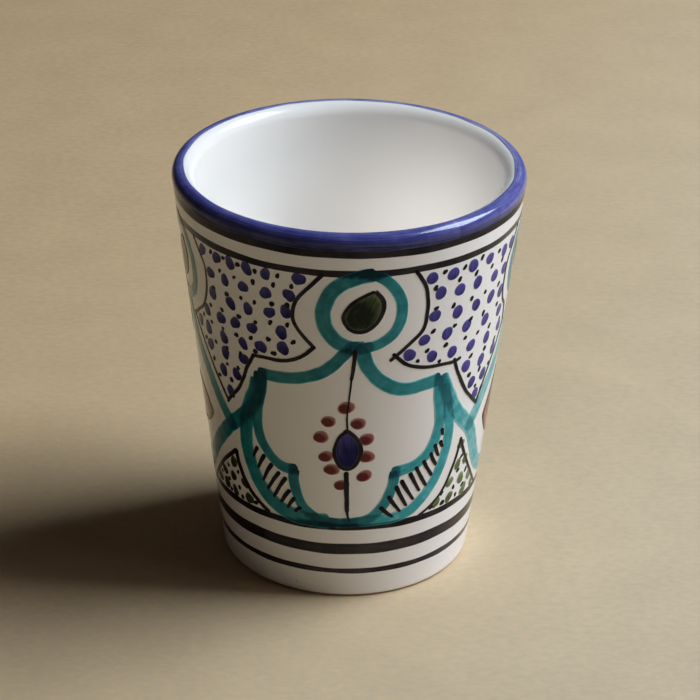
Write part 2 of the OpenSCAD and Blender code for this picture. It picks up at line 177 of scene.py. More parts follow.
@dataclass(frozen=True)
class Paint:
    """A brushed pigment, melted into the glossy glaze; where it lies dense it shines less."""

    slot: Slot
    tones: Tones
    streak: float = 0.30
    blot: float = 0.25
    hair_pitch: float = 2.6
    hair_run: float = 0.16
    edge_loss: float = 0.45
    ior: float = 1.5
    dense_gloss: float = 0.1
    suffix: str = ""

    CLOUD_SCALE: ClassVar[float] = 420.0
    RIPPLE_SCALE: ClassVar[float] = 260.0
    SHINY_LOAD: ClassVar[float] = 0.4
    DENSE_LOAD: ClassVar[float] = 0.85
    SHINY_GLOSS: ClassVar[float] = 0.5
    ROUGH: ClassVar[Point] = (0.09, 0.17)
    RELIEF: ClassVar[Point] = (0.05, 0.0002)

    def material(self) -> bpy.types.Material:
        """Returns the paint's material: density from load, brush hairs, clouds and thin edges."""
        mix = Recipe(self.slot.value + self.suffix)
        along = mix.sum("MULTIPLY", mix.mark("along"), self.hair_run)
        across = mix.sum("MULTIPLY", mix.mark("across"), self.hair_pitch)
        lay = mix.node("ShaderNodeCombineXYZ", {"X": along, "Y": across}).outputs[0]
        hairs = mix.spread(mix.noise(lay, 1.0, detail=4.0), -self.streak, self.streak)
        cloud = mix.spread(mix.noise(mix.place(), self.CLOUD_SCALE, detail=3.0), -self.blot, self.blot)
        loss = mix.sum("MULTIPLY", mix.mark("thin"), -self.edge_loss)
        density = mix.sum("ADD", mix.mark("load"), mix.sum("ADD", hairs, cloud))
        density = mix.sum("ADD", density, loss)
        limits = {
            "Value": density, "From Min": self.SHINY_LOAD, "From Max": self.DENSE_LOAD,
            "To Min": self.SHINY_GLOSS, "To Max": self.dense_gloss,
        }
        gloss = mix.node("ShaderNodeMapRange", limits).outputs[0]
        ripple = mix.noise(mix.place(), self.RIPPLE_SCALE, detail=2.0)
        return mix.surface({
            "Base Color": mix.ramp(density, self.tones),
            "Roughness": mix.spread(ripple, *self.ROUGH),
            "IOR": self.ior,
            "Specular IOR Level": gloss,
            "Normal": mix.bump(ripple, *self.RELIEF),
        })


@dataclass(frozen=True)
class WhiteGlaze:
    """Opaque white glaze with faint clouds and a few fine specks."""

    slot: Slot = Slot.GLAZE
    name: str = Slot.GLAZE.value
    cool: Colour = (0.886, 0.888, 0.900)
    warm: Colour = (0.874, 0.866, 0.866)
    speck: Colour = (0.42, 0.37, 0.32)
    cloud_scale: float = 38.0
    cloud_reach: Point = (0.30, 0.62)
    speck_scale: float = 95.0
    speck_reach: float = 0.038
    speck_from: float = 0.86
    speck_depth: float = 0.5
    ripple_scale: float = 55.0
    rough: Point = (0.10, 0.20)
    relief: Point = (0.08, 0.0004)
    ior: float = 1.5
    gloss: float = 0.5

    def material(self) -> bpy.types.Material:
        """Returns the glaze's material."""
        mix = Recipe(self.name)
        place = mix.place()
        cloud = mix.noise(place, self.cloud_scale, detail=4.0)
        ground = mix.ramp(cloud, tuple(zip(self.cloud_reach, (self.warm, self.cool))))
        cells = mix.node("ShaderNodeTexVoronoi", {"Vector": place, "Scale": self.speck_scale})
        near = mix.sum("LESS_THAN", cells.outputs["Distance"], self.speck_reach)
        chosen = mix.node("ShaderNodeSeparateColor", {"Color": cells.outputs["Color"]})
        spots = mix.sum("MULTIPLY", near, mix.sum("GREATER_THAN", chosen.outputs[0], self.speck_from))
        depth = mix.sum("MULTIPLY", spots, self.speck_depth)
        ripple = mix.noise(place, self.ripple_scale, detail=3.0)
        return mix.surface({
            "Base Color": self.mixed(mix, {"Factor": depth, "A": ground, "B": (*self.speck, 1.0)}),
            "Roughness": mix.spread(cloud, *self.rough),
            "IOR": self.ior,
            "Specular IOR Level": self.gloss,
            "Normal": mix.bump(ripple, *self.relief),
        })

    @staticmethod
    def mixed(mix: Recipe, inputs: dict) -> bpy.types.NodeSocket:
        """Mixes two colours by a factor.

        Args:
            mix: Material under construction.
            inputs: Factor, A and B of the colour mix.

        Returns:
            Socket of the mixed colour.
        """
        made = mix.node("ShaderNodeMix", data_type="RGBA")
        for socket in made.inputs:
            value = inputs.get(socket.name)
            if value is None or not socket.enabled:
                continue
            if isinstance(value, bpy.types.NodeSocket):
                mix.tree.links.new(value, socket)
            else:
                socket.default_value = value
        return next(socket for socket in made.outputs if socket.enabled)


@dataclass(frozen=True)
class BareClay:
    """Fired buff clay with fine grit, bare on the foot ring and inside it."""

    slot: Slot = Slot.CLAY
    tones: Tones = (
        (0.30, (0.33, 0.205, 0.125)),
        (0.52, (0.47, 0.315, 0.205)),
        (0.75, (0.58, 0.42, 0.295)),
    )
    body_scale: float = 130.0
    grit_scale: float = 1900.0
    body_share: float = 0.65
    rough: Point = (0.72, 0.95)
    relief: Point = (0.35, 0.0003)

    def material(self) -> bpy.types.Material:
        """Returns the clay's material."""
        mix = Recipe(self.slot.value)
        place = mix.place()
        body = mix.noise(place, self.body_scale, detail=6.0)
        grit = mix.noise(place, self.grit_scale, detail=2.0)
        coarse = mix.sum("MULTIPLY", body, self.body_share)
        tone = mix.sum("ADD", coarse, mix.sum("MULTIPLY", grit, 1.0 - self.body_share))
        return mix.surface({
            "Base Color": mix.ramp(tone, self.tones),
            "Roughness": mix.spread(grit, *self.rough),
            "Normal": mix.bump(grit, *self.relief),
        })


@dataclass(frozen=True)
class PlainFloor:
    """Pale floor with faint clouds, tinted warmer towards the back and the left as a painted shade tone."""

    name: str = "pale_floor"
    shade_warmth_drift: tuple[float, float, float] = (-3.85, 1.43, 0.0)
    fibre: tuple[float, float, float] = (380.0, 620.0, 1.0)
    broad_scale: float = 7.0
    broad_warmth: Point = (0.35, 0.65)
    fine_warmth: Point = (-0.40, 0.40)
    fine_light: Point = (0.85, 1.15)
    cloud_scale: float = 46.0
    cloud_light: Point = (-0.09, 0.09)
    rough: Point = (0.72, 0.88)
    relief: Point = (0.12, 0.0005)
    tones: Tones = (
        (0.00, (0.690, 0.550, 0.374)),
        (0.50, (0.700, 0.530, 0.332)),
        (1.00, (0.710, 0.498, 0.276)),
    )

    def material(self) -> bpy.types.Material:
        """Returns the floor's material."""
        mix = Recipe(self.name)
        place = mix.place()
        broad = mix.noise(place, self.broad_scale, detail=3.0)
        fibres = mix.node("ShaderNodeVectorMath", {0: place, 1: self.fibre}, operation="MULTIPLY")
        fine = mix.noise(fibres.outputs[0], 1.0, detail=5.0)
        # Painted shade tone: the floor turns warmer towards the back and the left, where it lies dimmer
        ways = {0: place, 1: self.shade_warmth_drift}
        shade_warmth = mix.node("ShaderNodeVectorMath", ways, operation="DOT_PRODUCT").outputs["Value"]
        clouds = mix.sum("ADD", mix.spread(broad, *self.broad_warmth), mix.spread(fine, *self.fine_warmth))
        tone = mix.sum("ADD", shade_warmth, clouds)
        cloud = mix.noise(place, self.cloud_scale, detail=4.0)
        light = mix.sum("ADD", mix.spread(fine, *self.fine_light), mix.spread(cloud, *self.cloud_light))
        cast = {"Color": mix.ramp(tone, self.tones), "Value": light}
        return mix.surface({
            "Base Color": mix.node("ShaderNodeHueSaturation", cast).outputs[0],
            "Roughness": mix.spread(fine, *self.rough),
            "Normal": mix.bump(fine, *self.relief),
        })


FINISHES = (
    BareClay(),
    WhiteGlaze(),
    Paint(Slot.COBALT, (
        (0.00, (0.400, 0.390, 0.640)),
        (0.25, (0.142, 0.120, 0.465)),
        (0.50, (0.045, 0.034, 0.296)),
        (0.75, (0.016, 0.014, 0.130)),
        (1.00, (0.008, 0.009, 0.038)),
    ), streak=0.22, blot=0.14, edge_loss=0.22, ior=1.6, dense_gloss=0.05),
    Paint(Slot.BLACK, (
        (0.00, (0.240, 0.212, 0.200)),
        (0.35, (0.031, 0.025, 0.029)),
        (0.65, (0.007, 0.005, 0.010)),
        (1.00, (0.003, 0.002, 0.006)),
    ), streak=0.14, blot=0.12, ior=1.4, dense_gloss=0.04),
    Paint(Slot.TEAL, (
        (0.00, (0.270, 0.570, 0.590)),
        (0.20, (0.032, 0.350, 0.400)),
        (0.50, (0.004, 0.165, 0.200)),
        (0.75, (0.003, 0.073, 0.102)),
        (1.00, (0.003, 0.025, 0.040)),
    ), streak=0.13, blot=0.15, ior=1.36),
    Paint(Slot.GREEN, (
        (0.00, (0.330, 0.380, 0.230)),
        (0.30, (0.110, 0.170, 0.055)),
        (0.60, (0.040, 0.062, 0.026)),
        (0.90, (0.014, 0.020, 0.012)),
    ), streak=0.26, ior=1.36),
    Paint(Slot.RED, (
        (0.00, (0.520, 0.330, 0.290)),
        (0.25, (0.350, 0.110, 0.086)),
        (0.60, (0.150, 0.028, 0.030)),
        (0.95, (0.065, 0.012, 0.015)),
    ), streak=0.10, blot=0.14, ior=1.36),
    Paint(Slot.RUST, (
        (0.00, (0.540, 0.340, 0.250)),
        (0.30, (0.400, 0.145, 0.085)),
        (0.65, (0.250, 0.070, 0.042)),
        (1.00, (0.120, 0.030, 0.022)),
    ), ior=1.4),
)


@dataclass(frozen=True)
class Brush:
    """A brush, by the mark that it leaves on the glaze."""

    width: float
    layer: float
    blunt: float = 0.35
    wobble: float = 0.05
    thick: float = 0.035
    step: float = 0.45
    load: float = 0.5
    dry: float = 0.12


@dataclass(frozen=True)
class Speck:
    """A black touch of a brush's tip: its width, the ranges of its size and lean, and its length."""

    width: float
    sizes: Point
    leans: Point
    longer: float
    rough: float = 0.12
    load: float = 0.72
    layer: float = 0.075
    thick: float = 0.02


@dataclass(frozen=True)
class Panel:
    """A painted panel: the turn of its middle and the stretch of its angles."""

    turn: float
    stretch: float

    def angle(self, sheet_angle: np.ndarray | float) -> np.ndarray | float:
        """Returns the angle round the cup of an angle on the panel's sheet."""
        return self.turn + self.stretch * sheet_angle


@dataclass(frozen=True)
class CupForm:
    """Shape of the cup over its glaze, read from the frame."""

    foot_r: float
    slope: float
    rim_r: float
    top: float
    floor: float
    panel_low: float
    panel_high: float

    LIP: ClassVar[float] = 2.2
    SHOULDER: ClassVar[float] = 3.7
    GLAZE: ClassVar[float] = 0.35
    PAINT: ClassVar[float] = 0.12
    WALL: ClassVar[float] = 4.6
    FLOOR_CORNER: ClassVar[float] = 9.0
    FOOT_EDGE: ClassVar[float] = 1.8
    FOOT_RING: ClassVar[float] = 4.5
    FOOT_RECESS: ClassVar[float] = 1.2
    FOOT_ROUND: ClassVar[float] = 0.5
    GLAZE_STOP: ClassVar[float] = 0.4
    SHEET: ClassVar[float] = 70.0
    ENDS: ClassVar[Point] = (-78.0, 90.0)
    # Size of each sway, its waves in a turn, its run up the wall and its start
    SWAYS: ClassVar[tuple[tuple[float, float, float, float], ...]] = (
        (0.055, 2.0, 0.0, 0.6), (0.035, 3.0, 0.045, 1.9), (0.012, 1.0, 0.95, 0.0),
    )

    @classmethod
    def from_frame(cls) -> "CupForm":
        """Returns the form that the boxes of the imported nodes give."""
        low_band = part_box("narrow_base_band")[1] / MM
        high_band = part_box("rim_line")[1] / MM
        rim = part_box("outside_glaze")[1] / MM
        slope = (high_band.x - low_band.x) / (high_band.z - low_band.z)
        return cls(
            foot_r=low_band.x - slope * low_band.z - cls.PAINT * math.hypot(1.0, slope),
            slope=slope,
            rim_r=rim.x,
            top=rim.z,
            floor=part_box("inside_glaze")[0].z / MM,
            panel_low=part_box("panel_foot_line")[1].z / MM,
            panel_high=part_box("panel_top_line")[0].z / MM,
        )

    @property
    def wall_turn(self) -> float:
        """Angle of the outside wall's normal above the horizon."""
        return -math.degrees(math.atan(self.slope))

    @property
    def wall_out(self) -> np.ndarray:
        """Outward normal of the wall as radius and height."""
        return heading(self.wall_turn)

    @property
    def lip_middle(self) -> np.ndarray:
        """Centre of the lip's roll as radius and height."""
        return np.array([self.rim_r - self.LIP, self.top - self.LIP])

    @property
    def blue_end(self) -> float:
        """Angle where the lip's roll meets its inner shoulder, and where the blue band ends."""
        wall = self.WALL + 2.0 * self.GLAZE
        lean = (wall - self.LIP - self.SHOULDER) / (self.SHOULDER - self.LIP)
        return self.wall_turn + math.degrees(math.acos(lean))

    def radius(self, height: np.ndarray | float, depth: float = 0.0) -> np.ndarray | float:
        """Returns the wall's radius at a height, at a depth square to the wall."""
        return self.foot_r + self.slope * height - depth * math.hypot(1.0, self.slope)

    def height(self, sheet_height: np.ndarray | float) -> np.ndarray | float:
        """Returns the height above the table of a height on the panel's sheet."""
        return self.panel_low + sheet_height * (self.panel_high - self.panel_low) / self.SHEET

    def spot(self, panel: Panel, sheet: Point) -> Point:
        """Returns the angle round the cup and the height above the table of a sheet point."""
        return (panel.angle(sheet[0]), self.height(sheet[1]))

    def upright(self, centre: Point) -> Panel:
        """Returns a panel round a centre, whose sheet angles are millimetres on the wall."""
        return Panel(centre[0], math.degrees(1.0 / self.radius(centre[1])))

    def outside(self, skin: float, first_turn: float) -> np.ndarray:
        """Gives the outside of the cup from its foot's edge to the end of the blue band.

        Args:
            skin: Thickness over the clay.
            first_turn: Angle on the foot's edge where the line starts.

        Returns:
            Points as radius and height.
        """
        depth = self.GLAZE + self.FOOT_EDGE
        foot = np.array([self.radius(self.FOOT_EDGE, depth), self.FOOT_EDGE])
        lip = self.LIP - self.GLAZE + skin
        edge = arc(foot, self.FOOT_EDGE + skin, first_turn, self.wall_turn, steps=10)
        roll = arc(self.lip_middle, lip, self.wall_turn, self.blue_end, steps=28)
        return np.concatenate([edge, between(edge[-1], roll[0], steps=60), roll])

    def inside(self, skin: float) -> np.ndarray:
        """Gives the inside of the cup from the end of the blue band to the middle of the floor.

        Args:
            skin: Thickness over the clay.

        Returns:
            Points as radius and height.
        """
        middle = self.lip_middle - (self.SHOULDER - self.LIP) * heading(self.blue_end)
        corner_z = self.floor + self.FLOOR_CORNER
        corner_r = self.radius(corner_z, self.GLAZE + self.WALL + self.FLOOR_CORNER)
        corner = np.array([corner_r, corner_z])
        reach = self.SHOULDER - self.GLAZE + skin
        shoulder = arc(middle, reach, self.blue_end, self.wall_turn + 180.0, steps=24)
        wall = between(shoulder[-1], corner + (self.FLOOR_CORNER - skin) * self.wall_out, steps=50)
        bowl = arc(corner, self.FLOOR_CORNER - skin, self.wall_turn, -90.0, steps=24)
        centre = np.array([0.0, self.floor + skin])
        return np.concatenate([shoulder, wall, bowl, between(bowl[-1], centre, steps=12), [centre]])

    def place(self, angle: np.ndarray, radius: np.ndarray, height: np.ndarray) -> np.ndarray:
        """Places points in the scene, with the slow unevenness of a thrown wall.

        Args:
            angle: Angles round the cup.
            radius: Distances from the axis.
            height: Heights above the table.

        Returns:
            Points in metres, with a last axis of three.
        """
        turn = np.radians(angle)
        uneven = 0.0
        for size, waves, rise, start in self.SWAYS:
            uneven = uneven + size * np.sin(waves * turn + rise * height + start)
        out = radius + uneven * np.clip(radius / self.foot_r, 0.0, 1.0)
        return np.stack([out * np.sin(turn), -out * np.cos(turn), height + 0.0 * turn], axis=-1) * MM

    def on_wall(self, angle: np.ndarray, height: np.ndarray, lift: np.ndarray | float) -> np.ndarray:
        """Places points on the straight outside wall, lifted square to it."""
        out, up = self.wall_out
        return self.place(angle, self.radius(height) + lift * out, height + lift * up)

    def over_lip(self, angle: np.ndarray, run: np.ndarray, lift: np.ndarray | float) -> np.ndarray:
        """Places points by their run up the wall and over the lip.

        Args:
            angle: Angles round the cup.
            run: Length along the section, from where the wall meets the roll.
            lift: Height over the glaze.

        Returns:
            Points in metres.
        """
        turn = np.radians(self.wall_turn) + np.maximum(run, 0.0) / self.LIP
        reach = self.LIP + lift
        slide = np.minimum(run, 0.0)
        along = heading(self.wall_turn + 90.0)
        radius = self.lip_middle[0] + reach * np.cos(turn) + slide * along[0]
        height = self.lip_middle[1] + reach * np.sin(turn) + slide * along[1]
        return self.place(angle, radius, height)


def heading(turn: float) -> np.ndarray:
    """Returns the unit vector at an angle in degrees."""
    return np.array([math.cos(math.radians(turn)), math.sin(math.radians(turn))])


def arc(middle: np.ndarray, radius: float, first: float, last: float, steps: int) -> np.ndarray:
    """Returns points on an arc round a middle, from one angle to another."""
    turns = np.radians(np.linspace(first, last, steps + 1))
    return middle + radius * np.column_stack([np.cos(turns), np.sin(turns)])


def between(first: np.ndarray, last: np.ndarray, steps: int) -> np.ndarray:
    """Returns evenly spaced points strictly between two points."""
    share = np.linspace(0.0, 1.0, steps + 1)[1:-1, None]
    return first + share * (last - first)


def ease(low: float, high: float, value: np.ndarray) -> np.ndarray:
    """Returns a smooth step from 0 at low to 1 at high."""
    share = np.clip((value - low) / (high - low), 0.0, 1.0)
    return share * share * (3.0 - 2.0 * share)


def wash(base: float, right: float = 0.0, up: float = 0.0) -> Tone:
    """Returns a load that changes evenly for each millimetre to the right and upwards."""
    return lambda x, y: base + up * y + right * x


def around(shape: Route, past: Point, height: float) -> Route:
    """Returns the sheet route round a shape and on to a point past its start, at a sheet height."""
    return tuple((x, y + height) for x, y in (*shape, shape[0], past))


def smooth(points: np.ndarray, closed: bool = False, steps: int = 14) -> np.ndarray:
    """Runs a smooth curve through points.

    Args:
        points: Points of the route.
        closed: Whether the curve comes back to its start.
        steps: Samples in each span.

    Returns:
        Points along the curve, without a repeated end on a closed one.
    """
    count = len(points)
    spans = count if closed else count - 1
    share = np.arange(steps)[:, None] / steps
    made = []
    for i in range(spans):
        ring = [(i + k) % count if closed else min(max(i + k, 0), count - 1) for k in (-1, 0, 1, 2)]
        a, b, c, d = (points[k] for k in ring)
        cubic = 1.5 * b - 0.5 * a - 1.5 * c + 0.5 * d
        square = a - 2.5 * b + 2 * c - d / 2
        made.append(b + share * (c - a) / 2 + share ** 2 * square + share ** 3 * cubic)
    if not closed:
        made.append(points[-1:])
    return np.concatenate(made)


def lengths(line: np.ndarray) -> np.ndarray:
    """Returns the length along a line at each of its points."""
    return np.concatenate([[0.0], np.cumsum(np.linalg.norm(np.diff(line, axis=0), axis=1))])


@dataclass
class Pull:
    """One pull of a brush, laid on the wall as a grid: rows along it and columns across it."""

    angle: np.ndarray
    height: np.ndarray
    along: np.ndarray
    across: np.ndarray
    load: np.ndarray
    middle: np.ndarray
    half: float
    brush: Brush
    lift: float
    over: np.ndarray = field(init=False)

    CROSSED: ClassVar[Point] = (0.72, 1.02)

    def __post_init__(self) -> None:
        """Starts with no other paint underneath."""
        self.over = np.zeros_like(self.angle)

    def cover(self, other: "Pull", form: CupForm) -> None:
        """Notes where this pull crosses another one, as a share from 0 to 1.

        Args:
            other: The pull that it may cross.
            form: Shape of the cup.
        """
        reach = self.half + other.half
        heights = other.middle[:, 1]
        if self.height.min() > heights.max() + reach or self.height.max() < heights.min() - reach:
            return
        turn = (self.angle.reshape(-1, 1) - other.middle[None, :, 0] + 180.0) % 360.0 - 180.0
        sideways = np.radians(turn) * form.radius(self.height.reshape(-1, 1))
        rise = self.height.reshape(-1, 1) - heights[None, :]
        gap = np.sqrt(np.min(sideways ** 2 + rise ** 2, axis=1)).reshape(self.angle.shape)
        near, far = (share * other.half for share in self.CROSSED)
        self.over = np.maximum(self.over, 1.0 - ease(near, far, gap))


class Coat:
    """Closed coats of one colour, gathered into one mesh."""

    MARKS: ClassVar[tuple[str, ...]] = ("along", "across", "load", "thin")
    SINK: ClassVar[float] = 0.06
    HAIR_SHIFT: ClassVar[float] = 53.0
    LAYER_STEP: ClassVar[float] = 0.0035
    LAYERS: ClassVar[int] = 12
    SHAKES: ClassVar[tuple[Point, ...]] = ((11.0, 0.5), (4.7, 0.35), (1.9, 0.15))
    TIPS: ClassVar[np.ndarray] = np.array([0.0, 0.04, 0.14, 0.32, 0.6])
    TIP_END: ClassVar[float] = 0.012
    POOLS: ClassVar[Point] = (0.12, 0.08)
    PATCHY: ClassVar[float] = 0.05
    STROKE_EDGE: ClassVar[float] = 0.80
    BLOB_EDGE: ClassVar[float] = 0.84
    BLOB_HAIRS: ClassVar[float] = 0.6
    LUMP_POINTS: ClassVar[int] = 28
    LUMP_WAVES: ClassVar[tuple[int, ...]] = (2, 3, 5)
    NEAR_AXIS: ClassVar[float] = 1e-6
    COLUMNS: ClassVar[np.ndarray] = np.array([-1.0, -0.93, -0.78, -0.45, 0.0, 0.45, 0.78, 0.93, 1.0])
    RINGS: ClassVar[np.ndarray] = np.array([0.3, 0.55, 0.76, 0.92, 1.0])

    def __init__(self, form: CupForm, seed: int) -> None:
        """Starts an empty coat.

        Args:
            form: Shape of the cup.
            seed: Seed of the coat's own unevenness.
        """
        self.form = form
        self.draws: Draws = np.random.default_rng(seed)
        self.points: list[np.ndarray] = []
        self.faces: list[list[int]] = []
        self.flat_from: list[tuple[int, int]] = []
        self.marks: dict[str, list[np.ndarray]] = {name: [] for name in self.MARKS}
        self.count = 0
        self.pulls = 0

    def add(self, points: np.ndarray, shown: list, hidden: list, marks: dict[str, np.ndarray]) -> None:
        """Adds one closed coat.

        Args:
            points: Points in metres.
            shown: Faces of the smooth top, by point number within this coat.
            hidden: Faces of the sides and the underside.
            marks: Numbers on the points, by name.
        """
        start = len(self.faces)
        for face in [*shown, *hidden]:
            self.faces.append([k + self.count for k in face])
        self.flat_from.append((start + len(shown), len(self.faces)))
        self.points.append(points)
        for name in self.MARKS:
            self.marks[name].append(np.broadcast_to(marks.get(name, 0.0), len(points)))
        self.count += len(points)

    def sheet(self, top: np.ndarray, under: np.ndarray, marks: dict[str, np.ndarray], ring: bool) -> None:
        """Adds a coat made of a grid: rows along, columns to the left of the way along.

        Args:
            top: Points of the top, rows by columns by three.
            under: Points of the underside, in the same order.
            marks: Numbers on the top's points, rows by columns, used for the underside too.
            ring: Whether the last row joins the first.
        """
        rows, columns = top.shape[:2]
        number = np.arange(rows * columns).reshape(rows, columns)
        ahead = np.roll(number, -1, axis=0)
        here, there = (number, ahead) if ring else (number[:-1], number[1:])
        below = rows * columns
        grid = [here[:, :-1], there[:, :-1], there[:, 1:], here[:, 1:]]
        shown = np.stack(grid, axis=-1).reshape(-1, 4)
        hidden = [shown[:, ::-1] + below]
        right, left = (here[:, 0], there[:, 0]), (here[:, -1], there[:, -1])
        hidden.append(np.stack([right[0] + below, right[1] + below, right[1], right[0]], axis=-1))
        hidden.append(np.stack([left[0], left[1], left[1] + below, left[0] + below], axis=-1))
        if not ring:
            first, last = number[0], number[-1]
            hidden.append(np.stack([first[:-1], first[1:], first[1:] + below, first[:-1] + below], axis=-1))
            hidden.append(np.stack([last[:-1] + below, last[1:] + below, last[1:], last[:-1]], axis=-1))
        points = np.concatenate([top.reshape(-1, 3), under.reshape(-1, 3)])
        doubled = {name: np.tile(value.reshape(-1), 2) for name, value in marks.items()}
        self.add(points, shown.tolist(), np.concatenate(hidden).tolist(), doubled)

    def pull(self, route: Route, brush: Brush, panel: Panel, taper: Point = (1.0, 1.0)) -> Pull:
        """Lays one pull of a brush through sheet points, without adding it to the mesh.

        Args:
            route: Sheet points that the stroke runs through.
            brush: The brush.
            panel: The panel that it is painted in.
            taper: Width at the start and at the end, as shares of the brush's width.

        Returns:
            The pull.
        """
        sheet = np.array(route)
        heights = self.form.height(sheet[:, 1])
        angles = panel.angle(sheet[:, 0])
        axis = angles.mean()
        curve = smooth(np.column_stack([np.radians(angles - axis) * self.form.radius(heights), heights]))
        run = lengths(curve)
        half = brush.width / 2.0
        nose = brush.blunt * brush.width
        tips = nose * self.TIPS
        stops = np.concatenate([tips, run[-1] - tips, np.arange(nose, run[-1] - nose, brush.step)])
        stops = np.unique(np.clip(stops, 0.0, run[-1]).round(6))
        line = np.column_stack([np.interp(stops, run, curve[:, k]) for k in (0, 1)])
        way = np.gradient(line, stops, axis=0)
        way = way / np.linalg.norm(way, axis=1, keepdims=True)
        aside = np.column_stack([-way[:, 1], way[:, 0]])
        share = stops / run[-1]
        near = np.minimum(stops, run[-1] - stops) / nose
        cap = np.sqrt(1.0 - (1.0 - np.clip(near, self.TIP_END, 1.0)) ** 2)
        spread = half * (taper[0] + (taper[1] - taper[0]) * share) * cap
        columns = self.COLUMNS[None, :]
        edges = [spread * (1.0 + brush.wobble * self.shake(stops)) for _ in range(2)]
        reach = np.where(columns > 0.0, edges[0][:, None], edges[1][:, None]) * columns
        spot = line[:, None, :] + aside[:, None, :] * reach[..., None]
        height = spot[..., 1]
        angle = axis + np.degrees(spot[..., 0] / self.form.radius(height))
        pool = self.POOLS[0] * np.exp(-stops / half) + self.POOLS[1] * np.exp((stops - run[-1]) / half)
        load = brush.load + pool - brush.dry * share + self.PATCHY * self.shake(stops)
        middle = np.column_stack([axis + np.degrees(line[:, 0] / self.form.radius(line[:, 1])), line[:, 1]])
        self.pulls += 1
        along = stops[:, None] + self.HAIR_SHIFT * self.pulls + 0.0 * columns
        return Pull(angle, height, along, columns + 0.0 * along, load[:, None] + 0.0 * along,
                    middle, half, brush, brush.layer + self.LAYER_STEP * (self.pulls % self.LAYERS))

    def shake(self, run: np.ndarray) -> np.ndarray:
        """Returns the unevenness of a hand along a run, from about -1 to 1."""
        phases = self.draws.uniform(0.0, 2.0 * math.pi, len(self.SHAKES))
        made = np.zeros_like(run)
        for (pitch, size), phase in zip(self.SHAKES, phases):
            made = made + size * np.sin(2.0 * math.pi * run / pitch + phase)
        return made

    def lay(self, pull: Pull, darker: float = 0.3) -> None:
        """Adds a pull to the mesh.

        Args:
            pull: The pull.
            darker: Added load where it covers another pull.
        """
        across = np.abs(pull.across)
        lift = pull.lift + pull.brush.thick * (1.0 - across ** 6)
        top = self.form.on_wall(pull.angle, pull.height, lift)
        under = self.form.on_wall(pull.angle, pull.height, -self.SINK)
        marks = {
            "along": pull.along,
            "across": pull.across,
            "load": pull.load + darker * pull.over,
            "thin": ease(self.STROKE_EDGE, 1.0, across) * (1.0 - pull.over),
        }
        self.sheet(top, under, marks, ring=False)

    def stroke(self, route: Route, brush: Brush, panel: Panel, taper: Point = (1.0, 1.0)) -> None:
        """Lays one pull of a brush and adds it to the mesh at once."""
        self.lay(self.pull(route, brush, panel, taper))

    def blob(
        self,
        centre: Point,
        outline: np.ndarray,
        tone: Tone,
        layer: float = 0.06,
        thick: float = 0.03,
        grain: float = 0.0,
    ) -> None:
        """Adds a filled shape round a centre on the wall.

        Args:
            centre: Angle round the cup and height above the table.
            outline: Closed outline in millimetres round the centre, run anticlockwise.
            tone: Gives the load at places in millimetres right of and above the centre.
            layer: Height of the shape's edge over the glaze.
            thick: Height of its middle over its edge.
            grain: Lean of the brush's hair marks to the right of upright, in degrees.
        """
        spots = [np.zeros((1, 2))] + [share * outline for share in self.RINGS]
        share = np.concatenate([[0.0], np.repeat(self.RINGS, len(outline))])
        spot = np.concatenate(spots)
        height = centre[1] + spot[:, 1]
        angle = centre[0] + np.degrees(spot[:, 0] / self.form.radius(height))
        top = self.form.on_wall(angle, height, layer + thick * (1.0 - share ** 4))
        under = self.form.on_wall(angle, height, -self.SINK)
        shown, hidden = self.fan(len(outline), len(self.RINGS), len(spot))
        self.pulls += 1
        marks = {
            "along": spot @ heading(90.0 - grain) + self.HAIR_SHIFT * self.pulls,
            "across": self.BLOB_HAIRS * (spot @ heading(-grain)),
            "load": tone(spot[:, 0], spot[:, 1]),
            "thin": ease(self.BLOB_EDGE, 1.0, share),
        }
        doubled = {name: np.tile(value, 2) for name, value in marks.items()}
        self.add(np.concatenate([top, under]), shown, hidden, doubled)

    @staticmethod
    def fan(count: int, rings: int, below: int) -> tuple[list, list]:
        """Gives the faces of a filled shape with a middle point and rings round it.

        Args:
            count: Points in each ring.
            rings: Number of rings.
            below: Number of points in the top.

        Returns:
            Faces of the top, and faces of the sides and the underside.
        """
        step = np.arange(count)
        ahead = (step + 1) % count
        shown = [[0, 1 + a, 1 + b] for a, b in zip(step.tolist(), ahead.tolist())]
        for ring in range(rings - 1):
            near, far = 1 + ring * count, 1 + (ring + 1) * count
            grid = [near + step, far + step, far + ahead, near + ahead]
            shown.extend(np.stack(grid, axis=-1).tolist())
        hidden = [[k + below for k in reversed(face)] for face in shown]
        edge = 1 + (rings - 1) * count
        wall = [edge + step, edge + step + below, edge + ahead + below, edge + ahead]
        hidden.extend(np.stack(wall, axis=-1).tolist())
        return shown, hidden

    def lump(self, width: float, height: float, lean: float = 0.0, rough: float = 0.07) -> np.ndarray:
        """Gives the outline of a dab of the brush.

        Args:
            width: Width of the dab.
            height: Height of the dab.
            lean: Turn of the dab in degrees.
            rough: Unevenness of its edge, as a share of its radius.

        Returns:
            Closed outline round its middle, run anticlockwise.
        """
        turn = np.linspace(0.0, 2.0 * math.pi, self.LUMP_POINTS, endpoint=False)
        phases = self.draws.uniform(0.0, 2.0 * math.pi, len(self.LUMP_WAVES))
        edge = 1.0 + rough * sum(np.sin(k * turn + p) / (k - 1) for k, p in zip(self.LUMP_WAVES, phases))
        shape = np.column_stack([width / 2.0 * np.cos(turn), height / 2.0 * np.sin(turn)]) * edge[:, None]
        along = heading(lean)
        return shape @ np.array([along, [-along[1], along[0]]])

    def fleck(self, spot: Point, speck: Speck) -> None:
        """Adds one speck.

        Args:
            spot: Angle round the cup and height above the table.
            speck: Kind of the speck.
        """
        width = speck.width * self.draws.uniform(*speck.sizes)
        lean = self.draws.uniform(*speck.leans)
        outline = self.lump(width * speck.longer, width, lean, speck.rough)
        self.blob(spot, outline, wash(speck.load), speck.layer, speck.thick)

